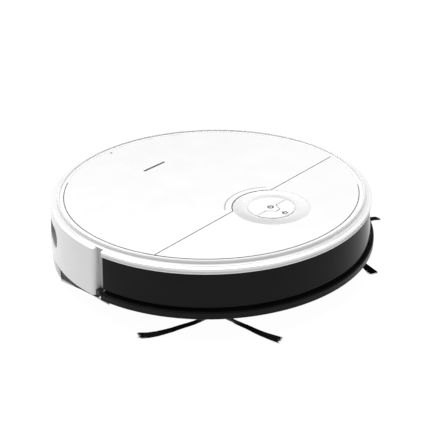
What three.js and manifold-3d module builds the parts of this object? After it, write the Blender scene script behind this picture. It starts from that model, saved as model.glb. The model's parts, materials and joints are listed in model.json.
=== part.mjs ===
// Robot vacuum cleaner with a mopping tank: a low round body on two driven wheels and a caster,
// with a sprung bumper round the front half, two three-armed side brushes, a main brush roller,
// a dust bin under a hinged lid and a water tank with a mop cloth under the tail.
//
// Millimetres, +Z up, +X forwards, +Y to the machine's left. The origin is on the floor,
// under the middle of the round body.

import * as THREE from 'three';
import { mergeVertices } from 'three/addons/utils/BufferGeometryUtils.js';
import Module from 'manifold-3d';

const wasm = await Module();
wasm.setup();

// ---- driving dimensions ----

const BODY_R = 174.5; // foot of the rear wall, the widest part of the body
const EDGE_R = 170.5; // sharp upper edge of the rim
const EDGE_Z = 71;
const FLANGE_Z = 73.4; // top of the shoulder's inner edge, under the raised ring
const RING_IN_R = 156.9; // raised ring round the top panels
const RING_OUT_R = 163.1;
const RING_TOP_Z = 76.3;
const PANEL_R = 156.4; // the round top, split into a front panel and a lid
const PANEL_TOP_Z = 74.5;
const PANEL_T = 2.2;
const SEAM_X = 55.6; // straight seam between the front panel and the lid
const SEAM_GAP = 0.5;
const BASE_Z = 7; // ground clearance
const BASE_TOP_Z = 20.9; // top of the base's sloping edge
const BASE_FLOOR_R = 146; // the flat underside ends here and the edge slopes up
const BASE_EDGE_R = 171.5;
const SHEET = 3; // thickness of the moulded base
const BASE_INNER_R = 147; // the inside follows the sloping edge from here
const BASE_INNER_Z = 13.4; // to this height at the round wall
const INNER_WALL_R = 153; // round wall behind the bumper
const INNER_WALL_T = 4;
const INNER_WALL_TOP = 69.9;
const DECK_Z = 70.2; // inner deck under the top panels
const DECK_T = 1.8;
const GAP = 0.3; // between pieces that touch

const BUMPER_END = THREE.MathUtils.degToRad(86.7); // the bumper runs this far to each side
const TRIM_FOOT_R = 168.5; // white trim above, black band below
const TRIM_FOOT_Z = 65.9;
const BAND_FOOT_R = 171;
const BAND_FOOT_Z = 31;
const LIP_R = 175;
const LIP_TOP_Z = 29.5;
const LIP_FOOT_Z = 21.6;
const BUMPER_WALL = 2;
const HOUSING_END = THREE.MathUtils.degToRad(88.5); // the rear housing reaches this far forwards
const HOUSING_CAP = THREE.MathUtils.degToRad(90.8); // its solid ends begin here
const HOUSING_CAP_R = 164.2;
const BUMPER_SWITCH_TURN = 34; // degrees to each side of the middle

const CONTROL = { x: 80, outer: 39.6, inner: 24.3, button: 23.8 };
const BUTTON_T = 4;

const WHEEL = { x: -15, y: 112, r: 33, width: 20, pivotX: 29, pivotZ: 42 };
const CASE = { x0: -57, x1: 38, y0: 97, y1: 128, top: 69.3, wall: 2 }; // box round a drive wheel
const CASTER = { x: 124, r: 12.5, width: 14, trail: 5 };
const SIDE_BRUSH = { x: 97.4, y: 103.5, reach: 74, hubR: 8.5, hubZ: 8, pocketR: 13 };
const SIDE_BRUSH_TURN = { left: -31, right: 2.5 }; // degrees, direction of the first arm
const ROLLER = { x: 50, z: 21.5, r: 18.5, half: 84, grooveR: 14, ribs: [-51, -17, 17, 51] };
const BAY = { x0: 27, x1: 73, half: 89, top: 44 };
const BIN = { x0: -120, x1: 21, y0: -88, y1: 46, z0: 33, z1: 69 };
const FAN = { x: -100, y: 76, r: 25.5, z0: 27, height: 37 };
const BATTERY = { x0: -56, x1: 19, half: 37, z0: 10.6, height: 20 };
const TANK_X = -66; // front edge of the tank under the tail
const TANK_Z = 3.6;
const TANK_TOP = 21.2;
const SOCKET = { turn: -122, z: 48, width: 46, height: 25 }; // oval recess in the right rear wall

const TURNS = 64; // facets of a full turn on the large rings
const FINE = 24; // facets of a full turn on small round pieces

// ---- helpers ----

const rad = THREE.MathUtils.degToRad;
const TAU = Math.PI * 2;

// A closed geometry as a manifold solid.
function solid(geometry) {
  geometry.deleteAttribute('normal');
  geometry.deleteAttribute('uv');
  const merged = mergeVertices(geometry, 1e-4);
  const index = merged.index.array;
  const kept = [];
  for (let i = 0; i < index.length; i += 3) {
    const [a, b, c] = [index[i], index[i + 1], index[i + 2]];
    if (a !== b && b !== c && c !== a) kept.push(a, b, c);
  }
  const mesh = new wasm.Mesh({
    numProp: 3,
    vertProperties: new Float32Array(merged.attributes.position.array),
    triVerts: new Uint32Array(kept),
  });
  return new wasm.Manifold(mesh);
}

function toGeometry(body) {
  const mesh = body.getMesh();
  const geometry = new THREE.BufferGeometry();
  geometry.setAttribute('position', new THREE.BufferAttribute(mesh.vertProperties, 3));
  geometry.setIndex(new THREE.BufferAttribute(mesh.triVerts, 1));
  return geometry;
}

const subtract = (body, ...tools) => tools.reduce((rest, tool) => rest.subtract(tool), body);
const unite = (first, ...others) => others.reduce((whole, other) => whole.add(other), first);

// A profile of [radius, z] points turned about Z; it closes on itself or on the axis.
function turned(profile, facets = TURNS) {
  const points = profile.map(([r, z]) => new THREE.Vector2(r, z));
  points.push(points[0].clone());
  if (THREE.ShapeUtils.area(points) < 0) points.reverse();
  const geometry = new THREE.LatheGeometry(points, facets);
  geometry.rotateX(Math.PI / 2);
  return solid(geometry);
}

function block(x0, x1, y0, y1, z0, z1) {
  const geometry = new THREE.BoxGeometry(x1 - x0, y1 - y0, z1 - z0);
  geometry.translate((x0 + x1) / 2, (y0 + y1) / 2, (z0 + z1) / 2);
  return solid(geometry);
}

function disc(x, y, z0, z1, r, facets = FINE) {
  const geometry = new THREE.CylinderGeometry(r, r, z1 - z0, facets);
  geometry.rotateX(Math.PI / 2);
  geometry.translate(x, y, (z0 + z1) / 2);
  return solid(geometry);
}

// A round bar along Y, from y0 to y1.
function bar(x, z, y0, y1, r, facets = FINE) {
  const geometry = new THREE.CylinderGeometry(r, r, y1 - y0, facets);
  geometry.translate(x, (y0 + y1) / 2, z);
  return solid(geometry);
}

// An outline of [x, y] points, or a THREE.Shape, raised from z0 to z1.
function prism(outline, z0, z1, curveSegments = 12) {
  const shape = outline instanceof THREE.Shape
    ? outline
    : new THREE.Shape(outline.map(([x, y]) => new THREE.Vector2(x, y)));
  const options = { depth: z1 - z0, bevelEnabled: false, curveSegments };
  const geometry = new THREE.ExtrudeGeometry(shape, options);
  geometry.translate(0, 0, z0);
  return solid(geometry);
}

// An outline of [x, z] points, made solid from y0 to y1.
function slab(outline, y0, y1) {
  const shape = new THREE.Shape(outline.map(([x, z]) => new THREE.Vector2(x, z)));
  const geometry = new THREE.ExtrudeGeometry(shape, { depth: y1 - y0, bevelEnabled: false });
  geometry.rotateX(Math.PI / 2);
  geometry.translate(0, y1, 0);
  return solid(geometry);
}

function roundedRect(width, height, r) {
  const [a, b] = [width / 2, height / 2];
  const shape = new THREE.Shape();
  shape.absarc(a - r, b - r, r, 0, TAU / 4);
  shape.absarc(r - a, b - r, r, TAU / 4, TAU / 2);
  shape.absarc(r - a, r - b, r, TAU / 2, TAU * 0.75);
  shape.absarc(a - r, r - b, r, TAU * 0.75, TAU);
  return shape;
}

// Everything within `half` radians of the forward direction.
function frontSector(half) {
  const reach = 300;
  const rim = [-1, -0.5, 0, 0.5, 1].map((t) => [reach * Math.cos(t * half), reach * Math.sin(t * half)]);
  return prism([[0, 0], ...rim], -10, 120);
}

function move(body, x, y, z) {
  return body.translate([x, y, z]);
}

const mirrorY = (body, side) => (side > 0 ? body : body.scale([1, -1, 1]));

function paint(name, body, color, roughness = 0.5, metalness = 0) {
  const material = new THREE.MeshStandardMaterial({ color, roughness, metalness });
  const mesh = new THREE.Mesh(toGeometry(body), material);
  mesh.name = name;
  return mesh;
}

const WHITE = 0xf4f4f4;
const BLACK = 0x16171a;
const GREY = 0x6b6e72;
const DARK = 0x2c2e31;
const STEEL = 0xb9bcc0;

// ---- body shell ----

// The concave shoulder between the raised ring and the sharp edge of the rim.
function shoulder(innerR, innerZ) {
  const points = [];
  const steps = 4;
  for (let i = 0; i <= steps; i += 1) {
    const t = i / steps;
    const sag = 0.9 * Math.sin(Math.PI * t);
    points.push([innerR + t * (EDGE_R - innerR), innerZ + t * (EDGE_Z - innerZ) - sag * (1 - t)]);
  }
  return points;
}

function sideBrushPocket(side) {
  return disc(SIDE_BRUSH.x, side * SIDE_BRUSH.y, 0, 20, SIDE_BRUSH.pocketR);
}

function wheelWell(side) {
  const { x0, x1, y0, y1 } = CASE;
  return mirrorY(block(x0 - 1, x1 + 1, y0 - 1, y1 + 1, 0, 22), side);
}

function chassisBase() {
  const wallOut = INNER_WALL_R + INNER_WALL_T;
  const pan = turned([
    [0, BASE_Z], [BASE_FLOOR_R, BASE_Z], [BASE_EDGE_R, BASE_TOP_Z], [wallOut, BASE_TOP_Z],
    [wallOut, INNER_WALL_TOP], [INNER_WALL_R, INNER_WALL_TOP], [INNER_WALL_R, BASE_INNER_Z],
    [BASE_INNER_R, BASE_Z + SHEET], [0, BASE_Z + SHEET],
  ]);
  const tail = block(-200, TANK_X + 2, -200, 200, 0, TANK_TOP + 0.6);
  const tailFloor = turned([
    [0, TANK_TOP + 0.6], [wallOut - 1, TANK_TOP + 0.6], [wallOut - 1, 24.5], [0, 24.5],
  ]).intersect(block(-200, TANK_X + 4, -200, 200, 0, 40));
  const envelope = turned([
    [0, BASE_Z], [BASE_FLOOR_R, BASE_Z], [BASE_EDGE_R, BASE_TOP_Z], [BASE_EDGE_R, 24.5], [0, 24.5],
  ]);
  const step = block(TANK_X + 2, TANK_X + 4.5, -146, 146, BASE_Z, 24.5).intersect(envelope);
  const body = unite(subtract(pan, tail), tailFloor, step);
  return subtract(
    body,
    block(BAY.x0, BAY.x1, -BAY.half, BAY.half, 0, 12),
    block(BATTERY.x0 - 3, BATTERY.x1 + 3, -BATTERY.half - 3, BATTERY.half + 3, 0, 12),
    wheelWell(1),
    wheelWell(-1),
    sideBrushPocket(1),
    sideBrushPocket(-1),
    disc(CASTER.x, 0, 0, 12, 19.5),
    ...[-1, 1].map((side) => block(111, 125, side * 42 - 9, side * 42 + 9, 0, 12)),
    ...CLIFF_TURNS.map((turn) => cliffPiece(turn, 0.4, -3, 3.1)),
  );
}

const CLIFF_TURNS = [-66, 0, 66]; // degrees, places of the downward-looking sensors

// A rounded slab set square to the sloping edge of the base, from `low` to `high` above its surface.
function cliffPiece(turn, spare, low, high) {
  const tilt = Math.atan2(BASE_TOP_Z - BASE_Z, BASE_EDGE_R - BASE_FLOOR_R);
  const slab = prism(roundedRect(9 + 2 * spare, 22 + 2 * spare, 3), low, high, 4);
  const middle = [(BASE_FLOOR_R + BASE_EDGE_R) / 2 - 3, 0, (BASE_Z + BASE_TOP_Z) / 2 - 1.6];
  return slab.rotate([0, -THREE.MathUtils.radToDeg(tilt), 0]).translate(middle).rotate([0, 0, turn]);
}

function rearHousing() {
  const wall = 2.2;
  const outside = [[RING_OUT_R - 5.6, 71.6], ...shoulder(RING_OUT_R - 1.2, FLANGE_Z), [BODY_R, LIP_FOOT_Z]];
  const shell = turned([
    ...outside, [161.8, LIP_FOOT_Z], [161.8, LIP_FOOT_Z + 2],
    [BODY_R - wall, LIP_FOOT_Z + 2], [EDGE_R - wall, 67.8], [RING_OUT_R - 5.6, 70.2],
  ]).subtract(frontSector(HOUSING_END));
  const caps = subtract(
    turned([...outside, [157.5, LIP_FOOT_Z]]).intersect(frontSector(HOUSING_CAP)),
    frontSector(HOUSING_END),
    disc(0, 0, 0, 90, HOUSING_CAP_R, TURNS),
  );
  return subtract(unite(shell, caps), ovalRecess(0, 12));
}

// The oval recess, as a capsule pushed in through the wall; `spare` shrinks its outline.
function ovalRecess(spare, depth) {
  const { turn, z, width, height } = SOCKET;
  const r = height / 2 - spare;
  const outline = roundedRect(width - 2 * spare, height - 2 * spare, r - 0.01);
  const capsule = prism(outline, 0, depth, 7).rotate([90, 0, 90]);
  return capsule.translate([BODY_R + 3 - depth, 0, z]).rotate([0, 0, turn]);
}

function topRing() {
  return turned([
    [148, DECK_Z], [157, DECK_Z], [157, FLANGE_Z + 0.5], [RING_OUT_R, FLANGE_Z + 0.5], [RING_OUT_R, 75.7],
    [RING_OUT_R - 0.7, RING_TOP_Z], [RING_IN_R + 0.7, RING_TOP_Z - 0.2], [RING_IN_R, 74.7],
    [RING_IN_R, 72], [148, 72],
  ]);
}

const controlDisc = (spare) => disc(CONTROL.x, 0, 50, 90, CONTROL.outer + spare, 48);

function topPlate() {
  return disc(0, 0, PANEL_TOP_Z - PANEL_T, PANEL_TOP_Z, PANEL_R, TURNS);
}

function frontTopPanel() {
  const front = block(SEAM_X + SEAM_GAP / 2, 200, -200, 200, 0, 100);
  return subtract(topPlate().intersect(front), controlDisc(0.4));
}

function binLid() {
  const rear = block(-200, SEAM_X - SEAM_GAP / 2, -200, 200, 0, 100);
  const dot = disc(-151.7, -2.7, 60, 90, 1.5);
  return subtract(topPlate().intersect(rear), controlDisc(0.4), dot);
}

// Inner deck: carries the ring and the panels, with a well for the dust bin.
function bodyDeck() {
  const plate = disc(0, 0, DECK_Z, DECK_Z + DECK_T, 147.6, TURNS);
  const rim = 2;
  const well = block(BIN.x0 - rim, BIN.x1 + rim, BIN.y0 - rim, BIN.y1 + rim, 60, 80);
  return subtract(plate, well, controlDisc(0.6));
}

// ---- bumper ----

const inFront = (body) => body.intersect(frontSector(BUMPER_END));

function bumperTrim() {
  const flangeR = RING_OUT_R - 1.2;
  return inFront(turned([
    [flangeR, FLANGE_Z], ...shoulder(flangeR, FLANGE_Z), [TRIM_FOOT_R, TRIM_FOOT_Z],
    [TRIM_FOOT_R - BUMPER_WALL, TRIM_FOOT_Z], [TRIM_FOOT_R - BUMPER_WALL, 69.6], [flangeR, 70.4],
  ]));
}

function bumperBand() {
  const inner = TRIM_FOOT_R - BUMPER_WALL;
  return inFront(turned([
    [TRIM_FOOT_R, TRIM_FOOT_Z - GAP], [BAND_FOOT_R, BAND_FOOT_Z], [168.4, BAND_FOOT_Z - 0.6],
    [168.4, LIP_TOP_Z + GAP], [inner, LIP_TOP_Z + GAP], [inner, TRIM_FOOT_Z - GAP],
  ]));
}

function bumperLip() {
  const inner = TRIM_FOOT_R - BUMPER_WALL;
  return inFront(turned([
    [inner, LIP_FOOT_Z], [LIP_R - 1, LIP_FOOT_Z], [LIP_R, LIP_FOOT_Z + 1], [LIP_R, 27],
    [LIP_R - 1.2, LIP_TOP_Z], [inner, LIP_TOP_Z],
  ]));
}

// The micro-switch behind the bumper: a box on the inner wall, with a plunger just short of it.
function bumperSwitch(side) {
  const box = block(145, 152.4, -9, 9, 40, 54);
  const plunger = block(150, 152.8, -2, 2, 45, 49);
  return unite(box, plunger).rotate([0, 0, side * BUMPER_SWITCH_TURN]);
}

// ---- control disc ----

function controlRing() {
  const { x, outer, inner } = CONTROL;
  const dish = [];
  const steps = 5;
  for (let i = 0; i <= steps; i += 1) {
    const t = i / steps;
    const r = outer - 0.7 + t * (inner + 1 - outer + 0.7);
    dish.push([r, 74.3 - 1.3 * Math.sin(t * Math.PI * 0.5)]);
  }
  const ring = turned([[inner, 66], [outer, 66], [outer, 74.3], ...dish, [inner, 73]], 48);
  return move(ring, x, 0, 0);
}

// The S-shaped line that divides the round button, from one side to the other.
function buttonSplit(shift) {
  const [straight, bulge] = [0.6, 9.4];
  const points = [new THREE.Vector2(straight + shift, -30)];
  const steps = 12;
  for (let i = 0; i <= steps; i += 1) {
    const y = -9.6 + (i / steps) * 19.2;
    const lift = 0.5 + 0.5 * Math.cos((Math.PI * y) / 9.6);
    const along = Math.min(1, 1.35 * lift);
    points.push(new THREE.Vector2(straight + shift + (bulge - straight) * along, y - 0.9));
  }
  points.push(new THREE.Vector2(straight + shift, 30));
  return points;
}

function buttonHalf(isRear) {
  const edge = isRear ? -40 : 40;
  const line = buttonSplit(isRear ? -0.15 : 0.15);
  const outline = new THREE.Shape([...line, new THREE.Vector2(edge, 30), new THREE.Vector2(edge, -30)]);
  const side = prism(outline, 60, 80);
  const cap = disc(0, 0, 74 - BUTTON_T, 74, CONTROL.button, 48);
  const stem = disc(isRear ? -12 : 15, 0, 66, 70.5, 2.5, 20);
  return cap.intersect(side).add(stem);
}

// ---- inside ----

function controlBoard() {
  const plate = block(52, 112, -34, 34, 62.4, 64);
  const lug = (x) => disc(x, 0, 63.5, 64.9, 3.4, 20);
  return unite(plate, lug(CONTROL.x - 12), lug(CONTROL.x + 15));
}

function mainBoard() {
  const plate = block(78, 138, -52, 52, 48, 49.6);
  const chips = [[84, -40, 14], [84, 18, 20], [108, -22, 16]];
  const bodies = chips.map(([x, y, s]) => block(x, x + s, y, y + s, 49, 52.4));
  return unite(plate, ...bodies, block(126, 134, -30, 30, 49, 55));
}

function batteryPack() {
  const { x0, x1, half, z0, height } = BATTERY;
  return block(x0, x1, -half, half, z0, z0 + height);
}

function batteryDoor() {
  const { x0, x1, half } = BATTERY;
  const door = block(x0 - 2.7, x1 + 2.7, -half - 2.7, half + 2.7, BASE_Z, BASE_Z + 2.4);
  const screwHoles = [-1, 1].map((side) => disc(x0 + 3, side * (half - 3), 0, 8.4, 2.2, 20));
  return subtract(door, ...screwHoles);
}

function fanHousing() {
  const { x, y, r, z0, height } = FAN;
  const drum = disc(x, y, z0, z0 + height, r, 36);
  const eye = disc(x, y, z0 + height - 8, z0 + height + 1, 11, 32);
  return subtract(drum, eye);
}

function fanWheel() {
  const { x, y, z0, height } = FAN;
  const hub = disc(x, y, z0 + height - 7.5, z0 + height - 2, 4, 20);
  const blades = [...Array(7).keys()].map((i) => {
    const blade = block(2, 10, -0.6, 0.6, z0 + height - 7, z0 + height - 2.5);
    return blade.rotate([0, 0, (i * 360) / 7]).translate([x, y, 0]);
  });
  return unite(hub, ...blades);
}

function brushHousing() {
  const { x0, x1, half, top } = BAY;
  const outer = block(x0 - 2, x1 + 2, -half - 2.5, half + 2.5, BASE_Z + SHEET + GAP, top);
  const bore = bar(ROLLER.x, ROLLER.z, -half, half, ROLLER.r + 2.5, 40);
  const mouth = block(x0 + 2, x1 - 2, -half, half, 0, ROLLER.z);
  const throat = block(x0 - 10, ROLLER.x - 8, -46, 24, 33, 41);
  return subtract(outer, bore, mouth, throat);
}

function brushGuard() {
  const [low, high, edge] = [BASE_Z - 0.8, BASE_Z + 1.7, BAY.half - 0.4];
  const frame = block(BAY.x0 + 0.4, BAY.x1 - 0.4, -edge, edge, low, high);
  const opening = block(BAY.x0 + 4, BAY.x1 - 4, -BAY.half + 5, BAY.half - 5, 0, 12);
  const ribs = ROLLER.ribs.map((y) => {
    const arch = block(BAY.x0 + 2, BAY.x1 - 2, y - 1, y + 1, BASE_Z - 3.2, high);
    return subtract(arch, bar(ROLLER.x, ROLLER.z, y - 2, y + 2, ROLLER.grooveR + 1, 40));
  });
  return unite(subtract(frame, opening), ...ribs);
}

function gearbox(name, size) {
  const { x0, x1, y0, y1, z0, z1 } = size;
  const body = block(x0, x1, y0, y1, z0, z1);
  return paint(name, body, DARK, 0.6);
}

// The gearbox over a side brush, with its output shaft pointing down into the hub.
function sideBrushMotor() {
  const body = disc(0, 0, 14.5, 40, 9.5);
  const plate = disc(0, 0, BASE_Z + SHEET + 4.3, 16.5, 10.5);
  const shaft = disc(0, 0, 9, 20, 2.2, 16);
  return unite(body, plate, shaft);
}

// ---- drive wheels ----

function wheelCase() {
  const { x0, x1, y0, y1, top, wall } = CASE;
  const outer = block(x0, x1, y0, y1, BASE_Z + SHEET + GAP, top);
  const inner = block(x0 + wall, x1 - wall, y0 + wall, y1 - wall, 0, top - wall + 0.2);
  const boss = bar(WHEEL.pivotX, WHEEL.pivotZ, y0 + 1, y0 + 2.2, 6, 24);
  const pin = bar(WHEEL.pivotX, WHEEL.pivotZ, y0 + 1, y1 - 1, 3, 24);
  return unite(subtract(outer, inner), boss, pin);
}

function swingArm() {
  const { x, y, r, pivotX, pivotZ } = WHEEL;
  const plate = unite(
    bar(pivotX, pivotZ, 99.5, 101.4, 6.5),
    slab([[pivotX, pivotZ - 6], [pivotX, pivotZ + 6], [x, r + 11], [x, r - 11]], 99.5, 101.4),
    bar(x, r, 99.5, 101.4, 12),
    bar(x, r, 101, y + 3, 4, 24),
  );
  return subtract(plate, bar(pivotX, pivotZ, 90, 130, 3.08, 24));
}

function wheelHub() {
  const { x, y, r } = WHEEL;
  const inner = y - 10 + 0.3;
  const rim = bar(x, r, inner, y + 9, r - 7.5, 32);
  const dish = bar(x, r, y + 5, y + 10, r - 12, 32);
  const axle = bar(x, r, 90, y + 3.4, 4.08, 24);
  const cap = bar(x, r, y + 4, y + 9.6, 5, 24);
  return unite(subtract(rim, dish, axle), cap);
}

// A ring of lugs, straight across the tread.
function tyre() {
  const { x, y, r, width } = WHEEL;
  const lugs = 24;
  const outline = new THREE.Shape();
  for (let i = 0; i < lugs; i += 1) {
    const turn = (i / lugs) * TAU;
    const step = TAU / lugs;
    const corners = [[r - 2.2, 0], [r, 0.12], [r, 0.55], [r - 2.2, 0.67]];
    corners.forEach(([radius, part], corner) => {
      const angle = turn + part * step - TAU / 4 - 0.335 * step;
      const point = [radius * Math.cos(angle), radius * Math.sin(angle)];
      if (i === 0 && corner === 0) outline.moveTo(...point);
      else outline.lineTo(...point);
    });
  }
  outline.closePath();
  const ring = prism(outline, 0, width).rotate([90, 0, 0]).translate([x, y + width / 2, r]);
  return subtract(ring, bar(x, r, 90, 130, r - 7.2, 32));
}

class Helix extends THREE.Curve {
  constructor(radius, pitch, turns) {
    super();
    Object.assign(this, { radius, pitch, turns });
  }

  getPoint(t, target = new THREE.Vector3()) {
    const angle = t * this.turns * TAU;
    const along = t * this.turns * this.pitch;
    return target.set(this.radius * Math.cos(angle), along, this.radius * Math.sin(angle));
  }
}

// Torsion spring round the arm's pivot.
function wheelSpring() {
  const section = new THREE.Shape();
  section.absarc(0, 0, 0.8, 0, TAU);
  const path = new Helix(6, 2.4, 4);
  const options = { extrudePath: path, steps: 32, curveSegments: 3 };
  const coil = solid(new THREE.ExtrudeGeometry(section, options));
  return move(coil, WHEEL.pivotX, 104, WHEEL.pivotZ);
}

// ---- caster ----

function casterSocket() {
  const { x } = CASTER;
  const cup = turned([
    [4.08, 29.4], [19.8, 29.4], [19.8, BASE_Z + SHEET + GAP], [22.5, BASE_Z + SHEET + GAP],
    [22.5, 33], [4.08, 33],
  ], 32);
  return move(cup, x, 0, 0);
}

function casterFork() {
  const { r, width, trail } = CASTER;
  const half = width / 2 + 0.6;
  const plate = disc(0, 0, 26.4, 28.8, 17, 32);
  const stem = disc(0, 0, 28, 37, 4, 24);
  const cheeks = [-1, 1].map((side) => {
    const outline = [[-trail - 4.5, r - 4], [-trail + 4.5, r - 4], [7, 27], [-13, 27]];
    return mirrorY(slab(outline, half, half + 2), side);
  });
  const axle = bar(-trail, r, -half - 1, half + 1, 2, 20);
  return unite(plate, stem, ...cheeks, axle);
}

function casterWheel() {
  const { r, width, trail } = CASTER;
  const half = width / 2;
  const wheel = turned([
    [2.08, -half], [r - 2, -half], [r, 1.5 - half], [r, half - 1.5], [r - 2, half], [2.08, half],
  ], 32).rotate([90, 0, 0]);
  return move(wheel, -trail, 0, r);
}

// ---- side brushes ----

function sideBrushHub() {
  const { hubR, hubZ } = SIDE_BRUSH;
  const top = 12.6;
  const neck = 5;
  const hub = turned([
    [0, hubZ - 1.5], [neck, hubZ - 1.5], [neck, hubZ], [hubR, hubZ], [hubR, hubZ + 2],
    [hubR - 2.5, top], [0, top],
  ], 32);
  return subtract(hub, disc(0, 0, 8.8, 20, 2.28, 16));
}

// Height of a tuft's underside at a distance from the hub: it slopes down, then lies on the floor.
function tuftFoot(distance) {
  const slope = Math.min(1, Math.max(0, (distance - 9) / 26));
  return 4.3 - 3.3 * slope;
}

// One curved tuft, narrow at the root and flaring at the tip.
function tuft(curl) {
  const { reach } = SIDE_BRUSH;
  const steps = 8;
  const sides = [[], []];
  for (let i = 0; i <= steps; i += 1) {
    const t = i / steps;
    const distance = 6 + t * (reach - 6);
    const turn = curl * rad(15) * (1 - t) ** 2;
    const half = 2.1 + 2.6 * t ** 3;
    const [c, s] = [Math.cos(turn), Math.sin(turn)];
    sides[0].push([distance * c + half * s, distance * s - half * c]);
    sides[1].unshift([distance * c - half * s, distance * s + half * c]);
  }
  const shape = new THREE.Shape([...sides[0], ...sides[1]].map(([x, y]) => new THREE.Vector2(x, y)));
  const geometry = new THREE.ExtrudeGeometry(shape, { depth: 1, bevelEnabled: false });
  const place = geometry.attributes.position;
  for (let i = 0; i < place.count; i += 1) {
    const distance = Math.hypot(place.getX(i), place.getY(i));
    const thick = 1.7 - 0.6 * (distance / reach);
    place.setZ(i, tuftFoot(distance) + thick * place.getZ(i));
  }
  return solid(geometry);
}

function sideBrushBristles(side) {
  const first = side > 0 ? SIDE_BRUSH_TURN.left : SIDE_BRUSH_TURN.right;
  const ring = disc(0, 0, 4.4, 6.1, SIDE_BRUSH.hubR, 32);
  const arms = [0, 120, 240].map((turn) => tuft(side).rotate([0, 0, first + turn]));
  return unite(ring, ...arms);
}

// ---- main brush ----

// Three bristle rows and three blades that sweep towards the middle as a chevron.
function rollerBristles() {
  const { x, z, r, half, grooveR, ribs } = ROLLER;
  const rows = 6;
  const section = new THREE.Shape();
  for (let i = 0; i < rows; i += 1) {
    const turn = (i / rows) * TAU;
    const corners = [[9.5, -0.5], [r, -0.1], [r, 0.1], [9.5, 0.5]];
    corners.forEach(([radius, part], corner) => {
      const angle = turn + (part * TAU) / rows * 0.5;
      const point = [radius * Math.cos(angle), radius * Math.sin(angle)];
      if (i === 0 && corner === 0) section.moveTo(...point);
      else section.lineTo(...point);
    });
  }
  section.closePath();
  const options = { depth: 2 * half - 4, bevelEnabled: false, steps: 8 };
  const geometry = new THREE.ExtrudeGeometry(section, options);
  geometry.translate(0, 0, 2 - half);
  const place = geometry.attributes.position;
  const turnPerMm = rad(0.9);
  for (let i = 0; i < place.count; i += 1) {
    const twist = Math.abs(place.getZ(i)) * turnPerMm;
    const [px, py] = [place.getX(i), place.getY(i)];
    place.setX(i, px * Math.cos(twist) - py * Math.sin(twist));
    place.setY(i, px * Math.sin(twist) + py * Math.cos(twist));
  }
  geometry.rotateX(Math.PI / 2);
  geometry.translate(x, 0, z);
  const grooves = ribs.map((y) => {
    const ring = bar(x, z, y - 2.5, y + 2.5, r + 2, 32);
    return subtract(ring, bar(x, z, y - 3, y + 3, grooveR, 32));
  });
  return subtract(solid(geometry), ...grooves, bar(x, z, -100, 100, 7.3, 32));
}

function rollerCore() {
  const { x, z, half } = ROLLER;
  const shaft = bar(x, z, -half, half, 7, 32);
  const drive = block(x - 3, x + 3, half - 2, half + 3, z - 3, z + 3);
  return unite(shaft, drive, bar(x, z, -half - 3, -half + 1, 3, 24));
}

// ---- tank and mop ----

const tankOutline = (r, inset) => {
  const span = Math.acos((TANK_X - inset) / r);
  const shape = new THREE.Shape();
  shape.absarc(0, 0, r, span, TAU - span);
  shape.closePath();
  return shape;
};

function waterTank() {
  const outer = turned([
    [0, TANK_Z], [168.5, TANK_Z], [172.5, TANK_Z + 1.8], [174.2, TANK_Z + 5.5], [174.2, TANK_TOP],
    [0, TANK_TOP],
  ]).intersect(block(-200, TANK_X, -200, 200, 0, 30));
  const cavity = prism(tankOutline(171.5, 2.5), TANK_Z + 2, TANK_TOP - 2, 48);
  const filler = disc(-112, 70, 15, 30, 11);
  const release = block(-180, -164, -16, 16, 8, 16.5);
  const pocket = block(-172.4, -160, -19, 19, 6.5, 18);
  return subtract(outer, subtract(cavity, pocket), filler, release);
}

function tankCap() {
  return disc(-112, 70, TANK_TOP - 2.2, TANK_TOP, 10.6);
}

const tankRelease = () => block(-174.8, -165.5, -15.6, 15.6, 8.4, 16.1);

function mopCloth() {
  const cloth = prism(tankOutline(160, 12), 0.6, TANK_Z - GAP, 32);
  return cloth;
}

// ---- dust bin ----

function dustBin() {
  const { x0, x1, y0, y1, z0, z1 } = BIN;
  const wall = 2;
  const box = block(x0, x1, y0, y1, z0, z1 - 2.3);
  const hollow = block(x0 + wall, x1 - wall, y0 + wall, y1 - wall, z0 + wall, z1 + 2);
  const inlet = block(x1 - 5, x1 + 2, -44, 22, z0 + 2, 41);
  const outlet = block(-108, -60, y1 - 5, y1 + 2, z0 + 8, z0 + 28);
  const pivots = [-45.6, 23.6].map((y) => block(x1 - 7, x1 - 1, y - 1, y + 1, 40, 46));
  const sockets = bar(x1 - 5, 43.6, -46, 24, 1.1, 16);
  return subtract(unite(subtract(box, hollow), ...pivots), inlet, outlet, sockets);
}

// Rubber flap inside the inlet, hung from its upper edge.
function inletFlap() {
  const x = BIN.x1 - 5;
  const sheet = block(x - 0.6, x + 0.6, -44, 22, 35.4, 43.6);
  return unite(sheet, bar(x, 43.6, -45.4, 23.4, 1, 16));
}

function binCover() {
  const { x0, x1, y0, y1, z1 } = BIN;
  const [cx, cy] = [(x0 + x1) / 2, (y0 + y1) / 2];
  const plate = block(x0, x1, y0, y1, z1 - 2, z1 + 0.8);
  const tray = block(cx - 24, cx + 24, cy - 34, cy + 34, z1 - 0.4, z1 + 5);
  return subtract(plate, tray);
}

function binHandle() {
  const { x0, x1, y0, y1, z1 } = BIN;
  const [cx, cy] = [(x0 + x1) / 2, (y0 + y1) / 2];
  const loop = block(cx - 22, cx + 22, cy - 30, cy + 30, z1, z1 + 2);
  return subtract(loop, block(cx - 16, cx + 30, cy - 24, cy + 24, z1 - 2, z1 + 5));
}

function binFilter() {
  const { y1, z0 } = BIN;
  const pleats = [];
  const count = 11;
  for (let i = 0; i <= count; i += 1) {
    pleats.push([-107.5 + (i * 47) / count, y1 - (i % 2 ? 3.4 : 8)]);
  }
  const back = [[-60.5, y1 - 1.2], [-107.5, y1 - 1.2]];
  return prism([...pleats, ...back], z0 + 8.4, z0 + 27.6);
}

// ---- small outer pieces ----

function chargingContact(side) {
  return move(prism(roundedRect(12, 16, 2.5), BASE_Z - 0.6, BASE_Z + 2.2, 5), 118, side * 42, 0);
}

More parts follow.
